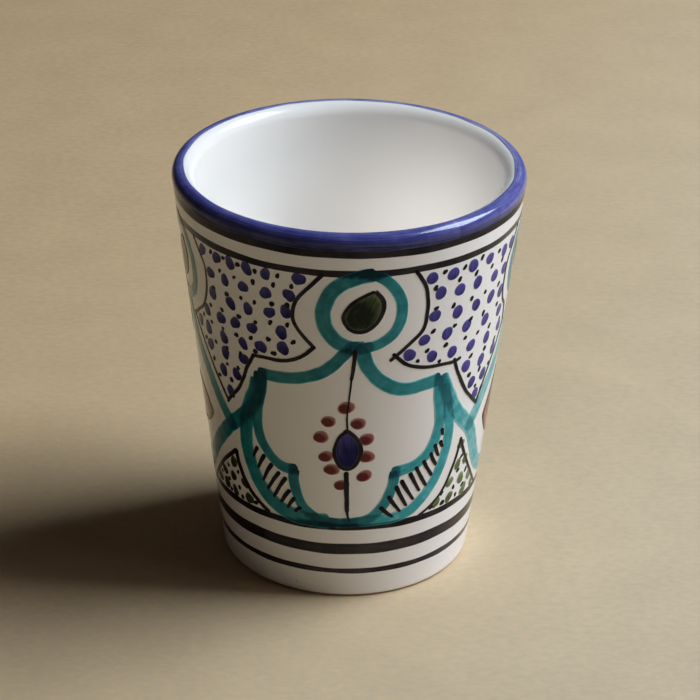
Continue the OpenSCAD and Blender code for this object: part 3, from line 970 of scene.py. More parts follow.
    def turned(self, outline: np.ndarray, segments: int = 288) -> None:
        """Adds a solid turned round the axis, smooth all over.

        Args:
            outline: Section as radius and height, run anticlockwise: a closed loop off the axis, or a
                line that starts and ends on it.
            segments: Number of steps round the axis.
        """
        angle = np.linspace(0.0, 360.0, segments, endpoint=False)
        on_axis = outline[:, 0] < self.NEAR_AXIS
        body = outline[~on_axis]
        rings = self.form.place(angle[None, :], body[:, :1] + 0.0 * angle, body[:, 1:] + 0.0 * angle)
        number = np.arange(rings.shape[0] * segments).reshape(-1, segments)
        ahead = np.roll(number, -1, axis=1)
        points = [rings.reshape(-1, 3)]
        if on_axis.any():
            low, high = (number[:-1], ahead[:-1]), (number[1:], ahead[1:])
        else:
            low, high = (number, ahead), (np.roll(number, -1, axis=0), np.roll(ahead, -1, axis=0))
        grid = [low[0], low[1], high[1], high[0]]
        faces = np.stack(grid, axis=-1).reshape(-1, 4).tolist()
        if on_axis.any():
            poles = [[0.0, 0.0, outline[0, 1] * MM], [0.0, 0.0, outline[-1, 1] * MM]]
            points.append(np.array(poles))
            start = number.size
            faces.extend([start, b, a] for a, b in zip(number[0].tolist(), ahead[0].tolist()))
            faces.extend([start + 1, a, b] for a, b in zip(number[-1].tolist(), ahead[-1].tolist()))
        self.add(np.concatenate(points), faces, [], {})

    def piece(self, node: str, slot: Slot, looks: Looks) -> None:
        """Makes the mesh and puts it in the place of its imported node.

        Args:
            node: Node that the piece stands for.
            slot: Material slot of the piece.
            looks: Materials by slot.
        """
        mesh = bpy.data.meshes.new(f"{node}_coat")
        mesh.from_pydata(np.concatenate(self.points).tolist(), [], self.faces)
        bent = np.ones(len(self.faces), dtype=bool)
        for first, last in self.flat_from:
            bent[first:last] = False
        mesh.polygons.foreach_set("use_smooth", bent)
        for name in self.MARKS:
            layer = mesh.attributes.new(name, "FLOAT", "POINT")
            layer.data.foreach_set("value", np.concatenate(self.marks[name]).astype(np.float32))
        mesh.materials.append(looks[slot])
        mesh.update()
        made = bpy.data.objects.new(f"{node}_coat", mesh)
        bpy.context.scene.collection.objects.link(made)
        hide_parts(node)
        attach(made, "root")
        LOG.info("%s: %d faces in %s", made.name, len(self.faces), slot.value)


@dataclass
class Pot:
    """The thrown clay body and the white glaze inside and outside it; the inside one is a lighter, warmer
    copy, as painted light.
    """

    form: CupForm
    recess_edge: Point = (0.6, 0.3)
    # Painted light: the inside glaze is a lighter, warmer copy of the outside white, which brightens the
    # inside of the cup
    lit_lining: WhiteGlaze = WhiteGlaze(
        name="white_glaze_inside_lit", cool=(0.972, 0.942, 0.908), warm=(0.962, 0.926, 0.888), speck_reach=0.0,
        gloss=0.3,
    )

    def build(self, looks: Looks) -> None:
        """Builds the clay and both glazes.

        Args:
            looks: Materials by slot.
        """
        form = self.form
        foot_r = form.radius(form.FOOT_EDGE, form.GLAZE + form.FOOT_EDGE)
        ring_r = foot_r - form.FOOT_RING
        recess = np.array([[0.0, form.FOOT_RECESS], [ring_r / 2.0, form.FOOT_RECESS]])
        ring_edge = form.FOOT_ROUND
        ring = arc(np.array([ring_r + ring_edge, ring_edge]), ring_edge, 180.0, 270.0, steps=5)
        lean, drop = self.recess_edge
        under = np.array([[ring_r - lean, form.FOOT_RECESS], [ring_r, form.FOOT_RECESS - drop]])
        clay = Coat(form, 1)
        clay.turned(np.concatenate([recess, under, ring, form.outside(0.0, -90.0), form.inside(0.0)[1:]]))
        clay.piece("clay_body", Slot.CLAY, looks)
        skin = form.outside(form.GLAZE, self.stop(form.GLAZE))
        back = form.outside(0.0, self.stop(0.0))
        outside = Coat(form, 2)
        outside.turned(np.concatenate([skin, back[::-1]]))
        outside.piece("outside_glaze", Slot.GLAZE, looks)
        inside = Coat(form, 3)
        lip_back = form.inside(0.0)[::-1]
        inside.turned(np.concatenate([lip_back, form.inside(form.GLAZE)]))
        inside.piece("inside_glaze", Slot.GLAZE, {Slot.GLAZE: self.lit_lining.material()})

    def stop(self, skin: float) -> float:
        """Returns the angle on the foot's edge where the outside glaze stops, at a skin's thickness."""
        form = self.form
        return math.degrees(math.asin((form.GLAZE_STOP - form.FOOT_EDGE) / (form.FOOT_EDGE + skin)))


@dataclass
class Bands:
    """The cobalt rim and the black lines that run round the cup."""

    form: CupForm
    steps: int = 540
    waver: float = 0.10
    layer: float = 0.012
    thick: float = 0.03
    patchy: float = 0.08
    line_load: float = 0.66
    line_thick: float = 0.02
    line_edge: float = 0.82
    base_dip: float = 0.14
    fade_at: float = 70.0
    overlap: float = 0.35
    rim_waver: float = 0.16
    rim_lift: float = 0.02
    rim_hairs: Point = (0.55, 2.6)
    rim_edge: Point = (0.8, 0.93)
    rim_paint: Paint = Paint(Slot.COBALT, (
        (0.00, (0.400, 0.405, 0.640)),
        (0.25, (0.152, 0.158, 0.440)),
        (0.50, (0.056, 0.060, 0.245)),
        (0.75, (0.020, 0.024, 0.098)),
        (1.00, (0.010, 0.011, 0.030)),
    ), streak=0.30, blot=0.12, edge_loss=0.22, ior=1.6, dense_gloss=0.05, suffix="_rim")

    LINES: ClassVar[tuple[tuple[str, float, float], ...]] = (
        ("rim_line", 0.0, 30.0), ("panel_top_line", 0.28, 32.0), ("panel_foot_line", 0.10, 30.0),
        ("wide_base_band", 0.22, 17.0), ("narrow_base_band", 0.28, 22.0),
    )
    WAVES: ClassVar[tuple[int, ...]] = (2, 5, 9, 17)
    WAVE_SIZE: ClassVar[float] = 0.42
    # Middle value, swing and turn round the cup of the rim's load and of the reach of its pool
    RIM_LOAD: ClassVar[tuple[float, float, float]] = (0.385, 0.11, 50.0)
    POOL_REACH: ClassVar[tuple[float, float, float]] = (0.42, 0.22, 30.0)
    POOL: ClassVar[float] = 0.31
    INNER_LOSS: ClassVar[float] = 0.16
    INNER_FROM: ClassVar[float] = 0.60
    JOIN: ClassVar[float] = 37.0
    JOIN_LOAD: ClassVar[float] = 0.10
    JOIN_FADE: ClassVar[float] = 14.0
    RIM_PATCHY: ClassVar[float] = 0.045

    def build(self, looks: Looks) -> None:
        """Builds the rim band and the five lines.

        Args:
            looks: Materials by slot.
        """
        self.rim()
        for seed, (node, loss, reach) in enumerate(self.LINES):
            self.line(node, 20 + seed, (loss, reach), looks)

    def wave(self, coat: Coat, angle: np.ndarray) -> np.ndarray:
        """Returns a closed unevenness round the cup, from about -1 to 1."""
        turn = np.radians(angle)
        phases = coat.draws.uniform(0.0, 2.0 * math.pi, len(self.WAVES))
        return sum(self.WAVE_SIZE * np.sin(k * turn + p) for k, p in zip(self.WAVES, phases))

    @staticmethod
    def swing(angle: np.ndarray, middle: float, size: float, turn: float) -> np.ndarray:
        """Returns a value that swings once round the cup."""
        return middle + size * np.cos(np.radians(angle + turn))

    def rim_load(self, coat: Coat, angle: np.ndarray, share: np.ndarray) -> np.ndarray:
        """Gives the load of the rim: pooled at its foot, thin inside and heavy where the brush started.

        Args:
            coat: Coat of the rim, whose draws are used.
            angle: Angles round the cup.
            share: Way from the foot of the band to its inner edge, from 0 to 1.

        Returns:
            The load, angles by shares.
        """
        pool = self.POOL * (1.0 - ease(0.0, self.swing(angle, *self.POOL_REACH), share))
        load = self.swing(angle, *self.RIM_LOAD) + pool
        load = load - self.INNER_LOSS * ease(self.INNER_FROM, 1.0, share)
        started = (angle - self.JOIN) % 360.0
        load = load + self.JOIN_LOAD * np.exp(-started / self.JOIN_FADE)
        return load + self.RIM_PATCHY * self.wave(coat, angle)

    def rim(self) -> None:
        """Builds the cobalt band over the lip."""
        form = self.form
        coat = Coat(form, 10)
        angle = np.linspace(-180.0, 180.0, self.steps, endpoint=False)[:, None]
        column = np.linspace(-1.0, 1.0, 41)[None, :]
        line_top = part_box("rim_line")[1].z / MM
        low = line_top - form.lip_middle[1] - form.LIP * form.wall_out[1] - self.overlap
        high = form.LIP * math.radians(form.blue_end - form.wall_turn)
        high = high + self.rim_waver * self.wave(coat, angle)
        share = (column + 1.0) / 2.0
        run = low + (high - low) * share
        lift = self.layer + self.rim_lift + self.thick * (1.0 - np.abs(column) ** 10)
        marks = {
            "along": np.radians(angle) * form.rim_r * self.rim_hairs[0] + 0.0 * column,
            "across": self.rim_hairs[1] * column + 0.0 * angle,
            "load": self.rim_load(coat, angle, share),
            "thin": self.rim_edge[0] * ease(self.rim_edge[1], 1.0, column) + 0.0 * angle,
        }
        top = form.over_lip(angle, run, lift)
        coat.sheet(top, form.over_lip(angle, run, -coat.SINK), marks, ring=True)
        coat.piece("rim_band", Slot.COBALT, {Slot.COBALT: self.rim_paint.material()})

    def line(self, node: str, seed: int, thin: Point, looks: Looks) -> None:
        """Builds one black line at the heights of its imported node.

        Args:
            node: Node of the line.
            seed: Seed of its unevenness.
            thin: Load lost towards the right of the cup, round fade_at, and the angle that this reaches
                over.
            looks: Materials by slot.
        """
        form = self.form
        coat = Coat(form, seed)
        low, high = (corner.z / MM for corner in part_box(node))
        angle = np.linspace(-180.0, 180.0, self.steps, endpoint=False)[:, None]
        column = coat.COLUMNS[None, :]
        foot = low + self.waver * self.wave(coat, angle)
        head = high + self.waver * self.wave(coat, angle)
        height = foot + (head - foot) * (column + 1.0) / 2.0
        edge = np.abs(column)
        lift = self.layer + self.line_thick * (1.0 - edge ** 6)
        # Lighter towards the right of the cup, round fade_at
        faded = thin[0] * np.exp(-(((angle - self.fade_at) / thin[1]) ** 2))
        load = self.line_load + self.patchy * self.wave(coat, angle) - faded
        if node.endswith("base_band"):
            load = load - self.base_dip * (1.0 - edge ** 2)
        marks = {
            "along": np.radians(angle) * form.rim_r + 0.0 * column,
            "across": column + 0.0 * angle,
            "load": load + 0.0 * column,
            "thin": ease(self.line_edge, 1.0, edge) + 0.0 * angle,
        }
        top = form.on_wall(angle, height, lift)
        coat.sheet(top, form.on_wall(angle, height, -coat.SINK), marks, ring=True)
        coat.piece(node, Slot.BLACK, looks)


@dataclass
class TealWork:
    """Teal brushwork: medallion rings, lobed cartouches and the trellis between them."""

    form: CupForm
    panels: tuple[Panel, ...]
    side_shift: float
    brush: Brush = Brush(width=3.0, layer=0.045, blunt=0.22, wobble=0.05, load=0.46, dry=0.10)
    taper: Point = (0.94, 0.96)
    over_black: float = 0.5
    black_edge: Point = (-0.25, 0.15)

    RING: ClassVar[tuple[Mark, ...]] = (
        (4.0, 0.52, ((9.0, 70.7), (2.5, 69.7), (-4.2, 66.7), (-7.7, 61.8), (-7.6, 57.0), (-4.4, 53.0),
                     (1.0, 50.9), (6.5, 50.9))),
        (3.0, 0.46, ((6.4, 70.9), (12.2, 69.0), (16.7, 64.8), (18.3, 60.0), (16.7, 55.3), (11.6, 51.9),
                     (5.5, 50.7), (1.5, 51.3))),
    )
    CARTOUCHE: ClassVar[tuple[Mark, ...]] = (
        (3.4, 0.54, ((2.5, 51.2), (-0.5, 49.4), (-5.0, 45.7), (-10.0, 43.2), (-20.0, 40.9), (-33.6, 40.3))),
        (3.2, 0.52, ((-31.6, 40.9), (-32.5, 36.0), (-34.6, 31.2), (-35.5, 26.0), (-35.0, 22.1),
                     (-32.5, 18.8), (-29.0, 16.3), (-25.0, 14.9), (-18.9, 14.9))),
        (3.0, 0.48, ((-20.6, 15.2), (-21.0, 12.1), (-20.3, 9.3), (-18.5, 5.4), (-15.0, 2.7), (-10.0, 1.0),
                     (-4.0, 0.4), (3.0, 0.5))),
        (4.6, 0.48, ((-33.8, 38.6), (-35.0, 35.2), (-37.8, 31.2), (-40.4, 27.0), (-41.7, 23.0),
                     (-42.2, 18.0), (-40.9, 13.0), (-36.9, 7.6), (-30.5, 3.5), (-22.0, 1.3),
                     (-13.0, 0.8), (-6.0, 0.8))),
        (3.9, 0.44, ((2.6, 51.0), (5.0, 49.6), (7.0, 46.0), (10.0, 42.7), (14.0, 40.2), (19.0, 38.5),
                     (24.0, 38.1), (30.0, 38.5), (36.0, 38.9))),
        (3.5, 0.33, ((35.0, 39.4), (36.0, 34.3), (37.2, 29.9), (37.8, 26.0), (36.8, 21.8), (34.3, 18.4),
                     (30.0, 16.0), (25.0, 14.9), (18.2, 14.4))),
        (3.0, 0.44, ((19.9, 15.0), (19.0, 10.4), (16.5, 6.0), (12.5, 2.7), (7.5, 1.0), (-1.0, 0.4))),
        (3.4, 0.29, ((37.8, 36.8), (40.6, 31.0), (42.7, 25.4), (43.3, 20.4), (42.5, 15.6), (40.2, 11.4),
                     (36.8, 7.6), (32.0, 4.2), (27.0, 2.0), (20.0, 1.0), (12.0, 1.0), (5.0, 0.8))),
    )
    TRELLIS: ClassVar[tuple[Mark, ...]] = (
        (4.2, 0.56, ((-32.2, 40.6), (-33.2, 36.4), (-34.8, 33.0), (-38.0, 29.6), (-44.0, 25.3),
                     (-50.5, 21.7), (-60.0, 15.6), (-70.0, 8.8), (-78.6, 3.2))),
        (4.3, 0.48, ((-77.0, 50.4), (-73.5, 42.8), (-69.0, 37.7), (-60.0, 29.9), (-55.0, 25.4),
                     (-50.0, 22.0))),
        (4.3, 0.19, ((36.0, 39.6), (38.4, 36.2), (41.4, 32.2), (45.0, 28.3), (50.0, 24.4), (57.0, 19.7),
                     (62.0, 14.0), (66.0, 9.6), (71.0, 5.8), (80.0, 3.2), (90.6, 2.4))),
        (4.9, 0.17, ((89.0, 50.4), (84.0, 42.0), (78.0, 36.6), (72.5, 32.7), (67.5, 29.3), (62.5, 26.0),
                     (57.0, 21.2))),
    )

    def build(self, looks: Looks) -> None:
        """Builds the rings, the cartouches and the trellis, with darker paint where they cross.

        Args:
            looks: Materials by slot.
        """
        nodes = ("medallion_rings", "cartouche_outlines", "trellis_lines")
        plan = {node: Coat(self.form, 31 + number) for number, node in enumerate(nodes)}
        done: list[tuple[Coat, Pull]] = []
        for panel in self.panels:
            done.extend(self.pulls(plan["trellis_lines"], self.TRELLIS, panel))
            done.extend(self.pulls(plan["cartouche_outlines"], self.CARTOUCHE, panel))
            for shift in (0.0, self.side_shift):
                beside = Panel(panel.angle(shift), panel.stretch)
                done.extend(self.pulls(plan["medallion_rings"], self.RING, beside))
        for index, (coat, pull) in enumerate(done):
            for earlier, (_, other) in enumerate(done):
                if earlier != index:
                    pull.cover(other, self.form)
            coat.lay(pull)
        for node, coat in plan.items():
            coat.piece(node, Slot.TEAL, looks)

    def pulls(self, coat: Coat, strokes: Sequence[Mark], panel: Panel) -> list[tuple[Coat, Pull]]:
        """Lays strokes in a panel, darker where they run over the black lines above and below it.

        Args:
            coat: Coat that the strokes belong to.
            strokes: Width, load and route of each stroke.
            panel: The panel.

        Returns:
            Each pull with its coat.
        """
        made = []
        for width, load, route in strokes:
            pull = coat.pull(route, replace(self.brush, width=width, load=load), panel, self.taper)
            outside = np.maximum(self.form.panel_low - pull.height, pull.height - self.form.panel_high)
            pull.load = pull.load + self.over_black * ease(*self.black_edge, outside)
            made.append((coat, pull))
        return made


@dataclass
class Medallions:
    """The leaf in each ring: a dark green fill inside a black outline."""

    form: CupForm
    panels: tuple[Panel, ...]
    side_shift: float
    liner: Brush = Brush(width=1.05, layer=0.085, blunt=0.5, wobble=0.10, thick=0.02, load=0.72, step=0.3)

    CENTRE: ClassVar[Point] = (5.0, 60.2)
    LEAF: ClassVar[Route] = (
        (2.7, 5.9), (0.1, 4.6), (-2.7, 2.4), (-4.3, -0.2), (-4.3, -2.2), (-3.1, -4.1), (-1.3, -5.0),
        (1.0, -4.7), (3.5, -2.5), (4.8, 0.8), (4.6, 3.4),
    )
    PAST: ClassVar[Point] = (3.9, 4.6)
    POOL_AT: ClassVar[Point] = (-0.9, -0.8)
    POOL_SQUASH: ClassVar[float] = 0.8
    POOL_EDGE: ClassVar[Point] = (2.4, 5.0)
    POOL_LOAD: ClassVar[float] = 0.90
    RIM_LOSS: ClassVar[float] = 0.34

    def build(self, looks: Looks) -> None:
        """Builds the leaves of all four medallions.

        Args:
            looks: Materials by slot.
        """
        fills, lines = Coat(self.form, 41), Coat(self.form, 42)
        shape = np.array(self.LEAF)
        for panel in self.panels:
            for shift in (0.0, self.side_shift):
                centre = self.form.spot(panel, (self.CENTRE[0] + shift, self.CENTRE[1]))
                fills.blob(centre, smooth(shape, closed=True, steps=5), self.tone, grain=24.0)
                route = around(self.LEAF, self.PAST, self.CENTRE[1])
                lines.stroke(route, self.liner, self.form.upright(centre), taper=(0.8, 1.1))
        fills.piece("leaf_fills", Slot.GREEN, looks)
        lines.piece("leaf_outlines", Slot.BLACK, looks)

    def tone(self, x: np.ndarray, y: np.ndarray) -> np.ndarray:
        """Returns the load of the leaf's fill: lighter along its upper right, pooled below."""
        gap = np.hypot(x - self.POOL_AT[0], self.POOL_SQUASH * (y - self.POOL_AT[1]))
        return self.POOL_LOAD - self.RIM_LOSS * ease(*self.POOL_EDGE, gap)


@dataclass
class DottedGround:
    """Black outlines of the two grounds beside a medallion, with cobalt dots and black specks."""

    form: CupForm
    panels: tuple[Panel, ...]
    liner: Brush = Brush(width=1.0, layer=0.085, blunt=0.5, wobble=0.12, thick=0.02, load=0.72, step=0.35)
    dot: Point = (3.1, 3.35)
    speck: Speck = Speck(width=1.15, sizes=(0.8, 1.15), leans=(35.0, 75.0), longer=1.25)
    loose: Point = (8.0, 4.0)

    DOT_SIZES: ClassVar[Point] = (0.92, 1.06)
    DOT_LEANS: ClassVar[Point] = (-35.0, 10.0)
    DOT_LOADS: ClassVar[Point] = (0.63, 0.73)
    DOT_ROUGH: ClassVar[float] = 0.08
    SIDE_LOAD: ClassVar[float] = 0.07
    SIDE_ROUGH: ClassVar[float] = 0.03
    THIN: ClassVar[Point] = (0.85, 0.55)
    EVEN: ClassVar[Point] = (1.0, 0.95)
    OUTLINES: ClassVar[tuple[tuple[Route, Point], ...]] = (
        (((-7.8, 70.6), (-13.5, 66.0), (-17.0, 62.7), (-18.5, 58.8), (-17.5, 55.7), (-14.5, 52.9),
          (-10.9, 50.0)), EVEN),
        (((-11.2, 50.6), (-15.0, 47.9), (-20.0, 46.0), (-25.0, 45.2), (-30.0, 45.1), (-35.4, 44.7)), EVEN),
        (((-34.4, 45.2), (-38.0, 41.0), (-40.5, 37.1), (-44.0, 33.2), (-48.0, 30.4), (-51.2, 27.7)), EVEN),
        (((-50.1, 28.0), (-57.5, 34.9), (-62.5, 39.9), (-70.6, 47.3)), THIN),
        (((-70.0, 46.8), (-65.0, 49.3), (-60.5, 51.6), (-58.0, 54.3), (-56.0, 58.2), (-55.5, 62.1),
          (-56.5, 64.9), (-61.6, 70.4)), THIN),
        (((22.0, 70.6), (25.5, 66.6), (27.0, 62.7), (27.4, 58.8), (26.5, 54.3), (23.0, 51.6),
          (19.5, 49.3), (14.8, 46.6)), EVEN),
        (((15.9, 48.6), (20.0, 45.7), (24.0, 44.2), (30.0, 43.1), (35.0, 42.8), (41.0, 42.4),
          (44.6, 42.8)), EVEN),
        (((41.0, 43.3), (43.5, 39.3), (46.5, 35.7), (50.0, 32.1), (54.0, 29.3), (59.4, 26.0)), EVEN),
        (((58.6, 26.3), (63.0, 31.6), (66.5, 35.2), (71.0, 39.3), (76.6, 44.5)), THIN),
        (((76.0, 44.0), (74.0, 48.8), (70.0, 51.6), (68.4, 54.3), (67.7, 57.7), (67.9, 61.4), (69.2, 64.0),
          (72.2, 66.6), (75.0, 70.6)), THIN),
    )
    DOTS: ClassVar[Route] = (
        (-56.0, 68.0), (-48.1, 68.0), (-41.7, 68.2), (-34.7, 68.4), (-27.5, 68.3), (-15.9, 68.6),
        (-52.5, 62.8), (-45.0, 62.8), (-36.8, 63.0), (-27.9, 63.1), (-19.4, 63.8),
        (-52.6, 57.3), (-43.3, 57.0), (-35.5, 57.3), (-26.9, 58.0), (-20.8, 59.1),
        (-57.8, 51.3), (-49.4, 51.4), (-42.0, 52.0), (-34.4, 52.3), (-22.8, 53.2),
        (-64.6, 46.6), (-58.5, 46.2), (-48.9, 46.2), (-39.1, 47.0), (-31.3, 47.8), (-22.6, 48.9),
        (-58.5, 41.7), (-49.1, 42.0), (-39.6, 42.6), (-51.5, 36.6), (-43.9, 37.3), (-48.4, 31.4),
        (28.1, 67.7), (36.2, 67.4), (44.8, 67.7), (53.4, 67.4), (63.2, 66.8), (69.6, 67.0),
        (31.9, 63.1), (39.9, 62.4), (48.2, 62.4), (58.3, 61.4), (65.6, 61.3),
        (30.5, 57.1), (40.0, 56.3), (49.0, 56.1), (57.9, 55.9), (65.4, 55.2),
        (27.2, 51.0), (36.4, 51.2), (45.4, 51.3), (56.1, 50.2), (67.4, 49.4),
        (22.0, 47.6), (30.9, 45.9), (39.7, 45.4), (49.2, 44.9), (59.3, 44.3), (69.8, 44.5),
        (48.1, 39.4), (57.6, 38.7), (67.0, 39.1), (53.1, 33.6), (60.9, 33.8), (56.9, 29.4),
    )
    SPECKS: ClassVar[Route] = (
        (-50.9, 68.8), (-44.7, 68.8), (-38.3, 68.6), (-31.4, 68.3), (-23.1, 68.5),
        (-47.1, 64.8), (-40.4, 64.7), (-32.5, 65.2), (-24.8, 65.8), (-18.4, 66.3),
        (-51.8, 58.9), (-44.8, 59.1), (-38.1, 59.7), (-32.5, 59.7), (-25.8, 60.5), (-20.2, 61.0),
        (-54.9, 53.4), (-48.2, 53.9), (-39.9, 54.2), (-32.8, 54.2), (-26.8, 55.3), (-20.5, 55.6),
        (-61.1, 49.1), (-55.6, 48.6), (-48.9, 48.6), (-42.0, 48.7), (-35.3, 49.4), (-28.0, 50.5),
        (-18.6, 51.1),
        (-61.6, 42.6), (-54.4, 43.5), (-47.8, 43.6), (-40.9, 43.6), (-33.8, 46.0), (-26.2, 46.9),
        (-57.3, 38.1), (-48.7, 38.9), (-42.8, 39.3), (-54.5, 34.3), (-47.2, 34.9), (-53.0, 30.6),
        (32.7, 68.6), (40.9, 68.2), (48.9, 68.9), (59.1, 67.8),
        (29.7, 64.8), (39.2, 65.3), (46.8, 65.2), (55.4, 64.8), (62.5, 64.5),
        (30.7, 59.1), (37.8, 58.5), (46.1, 58.5), (53.4, 58.4), (62.6, 57.9),
        (30.4, 52.9), (39.4, 52.7), (47.0, 52.6), (54.2, 52.4), (64.0, 52.0),
        (28.7, 47.8), (36.4, 48.0), (45.5, 47.9), (52.4, 47.6), (60.2, 47.2), (70.0, 46.3),
        (25.3, 45.5), (34.3, 43.9), (50.2, 41.7), (59.2, 41.3), (67.5, 41.3),
        (50.8, 36.2), (57.5, 36.1), (65.0, 35.5), (56.2, 31.7), (61.5, 29.9),
    )

    def build(self, looks: Looks) -> None:
        """Builds the outlines, the dots and the specks of both panels.

        Args:
            looks: Materials by slot.
        """
        lines, dots, specks = (Coat(self.form, seed) for seed in (51, 52, 53))
        for panel in self.panels:
            for route, taper in self.OUTLINES:
                lines.stroke(route, self.liner, panel, taper)
            for spot, side in self.spots(dots, self.DOTS, panel):
                self.dab(dots, spot, side)
            for spot, _ in self.spots(specks, self.SPECKS, panel):
                specks.fleck(spot, self.speck)
        lines.piece("spandrel_outlines", Slot.BLACK, looks)
        dots.piece("cobalt_dots", Slot.COBALT, looks)
        specks.piece("spandrel_specks", Slot.BLACK, looks)

    def spots(self, coat: Coat, marks: Route, panel: Panel) -> list[tuple[Point, float]]:
        """Gives the places of dots, each a little off its mark where the panel is stretched.

        Args:
            coat: Coat whose draws are used.
            marks: Sheet points of the dots.
            panel: Panel that they are painted in.

        Returns:
            Angle round the cup and height above the table of each dot, with the side of the panel.
        """
        reach = (panel.stretch - 1.0) * np.array(self.loose)
        made = []
        for angle, height in marks:
            slip = reach * coat.draws.uniform(-1.0, 1.0, 2)
            spot = self.form.spot(panel, (angle + slip[0], height + slip[1]))
            made.append((spot, math.copysign(1.0, angle)))
        return made

    def dab(self, coat: Coat, spot: Point, side: float) -> None:
        """Adds one cobalt dot.

        Args:
            coat: Coat of the dots.
            spot: Angle round the cup and height above the table.
            side: Side of the panel: the left one has denser paint and rougher dots.
        """
        size = coat.draws.uniform(*self.DOT_SIZES)
        lean = coat.draws.uniform(*self.DOT_LEANS)
        base = coat.draws.uniform(*self.DOT_LOADS) - self.SIDE_LOAD * side
        rough = self.DOT_ROUGH - self.SIDE_ROUGH * side
        outline = coat.lump(self.dot[0] * size, self.dot[1] * size, lean, rough)
        coat.blob(spot, outline, wash(base, right=0.03, up=-0.06))


@dataclass
class Flower:
    """Cobalt bud on a black stem with red berries round it, in the middle of each cartouche."""

    form: CupForm
    panels: tuple[Panel, ...]
    liner: Brush = Brush(width=1.0, layer=0.105, blunt=0.5, wobble=0.10, thick=0.02, load=0.72, step=0.3)
    berry: Point = (4.05, 3.3)
    bud_layer: float = 0.085

    CENTRE: ClassVar[Point] = (0.6, 21.7)
    BUD: ClassVar[Route] = (
        (0.0, 5.6), (-1.3, 4.6), (-2.3, 3.0), (-3.1, 0.3), (-2.9, -2.1), (-1.6, -4.6), (0.2, -5.3),
        (1.9, -4.2), (3.1, -1.2), (3.1, 0.9), (2.0, 3.6),
    )
    PAST: ClassVar[Point] = (-0.9, 5.1)
    STEM: ClassVar[tuple[tuple[Route, Point], ...]] = (
        (((2.8, 50.2), (2.4, 46.0), (1.6, 41.6)), (1.25, 0.75)),
        (((1.8, 42.6), (0.9, 36.0), (0.3, 31.0), (0.6, 27.2)), (0.45, 0.5)),
        (((0.3, 15.6), (0.5, 9.0), (0.8, 3.6)), (1.25, 1.15)),
        (((0.7, 4.0), (1.1, 2.4), (2.0, 0.8)), (0.8, 0.4)),
    )
    BERRIES: ClassVar[Route] = (
        (0.0, 34.0), (-6.5, 29.9), (4.5, 29.5), (-9.4, 25.3), (7.8, 24.9), (-7.6, 19.8), (8.0, 19.9),
        (-5.4, 16.1), (7.4, 14.3), (-1.5, 11.7),
    )
    BERRY_SIZES: ClassVar[Point] = (0.92, 1.06)
    BERRY_LEANS: ClassVar[Point] = (8.0, 24.0)
    BERRY_ROUGH: ClassVar[float] = 0.05
    SECOND_AT: ClassVar[Point] = (-0.42, -0.26)
    SECOND_SIZE: ClassVar[Point] = (1.5, 1.25)
    SECOND_EDGE: ClassVar[Point] = (0.82, 1.16)
    SECOND_LOAD: ClassVar[float] = 0.72
    FIRST_LOSS: ClassVar[float] = 0.45

    def build(self, looks: Looks) -> None:
        """Builds the buds, stems and berries of both panels.

        Args:
            looks: Materials by slot.
        """
        fills, lines, stems, berries = (Coat(self.form, seed) for seed in (61, 62, 63, 64))
        shape = np.array(self.BUD)
        for panel in self.panels:
            centre = self.form.spot(panel, self.CENTRE)
            bud_tone = wash(0.80, right=0.02, up=-0.028)
            fills.blob(centre, smooth(shape, closed=True, steps=5), bud_tone, self.bud_layer)
            route = around(self.BUD, self.PAST, self.CENTRE[1])
            lines.stroke(route, self.liner, self.form.upright(centre), taper=(0.9, 1.15))
            for stem, taper in self.STEM:
                stems.stroke(stem, self.liner, panel, taper)
            for berry in self.BERRIES:
                self.dab(berries, self.form.spot(panel, berry))
        fills.piece("bud_fills", Slot.COBALT, looks)
        lines.piece("bud_outlines", Slot.BLACK, looks)
        stems.piece("stem_lines", Slot.BLACK, looks)
        berries.piece("berries", Slot.RED, looks)

    def dab(self, coat: Coat, spot: Point) -> None:
        """Adds one berry: a light dab of the brush with a second, darker one at its lower left.

        Args:
            coat: Coat of the berries.
            spot: Angle round the cup and height above the table.
        """
        size = coat.draws.uniform(*self.BERRY_SIZES)
        lean = coat.draws.uniform(*self.BERRY_LEANS)
        outline = coat.lump(self.berry[0] * size, self.berry[1] * size, lean, self.BERRY_ROUGH)
        coat.blob(spot, outline, self.berry_tone)

    def berry_tone(self, x: np.ndarray, y: np.ndarray) -> np.ndarray:
        """Returns the load of a berry: dense within the second dab, light round it."""
        (right, up), (width, height) = self.SECOND_AT, self.SECOND_SIZE
        gap = np.hypot((x - right) / width, (y - up) / height)
        return self.SECOND_LOAD - self.FIRST_LOSS * ease(*self.SECOND_EDGE, gap)


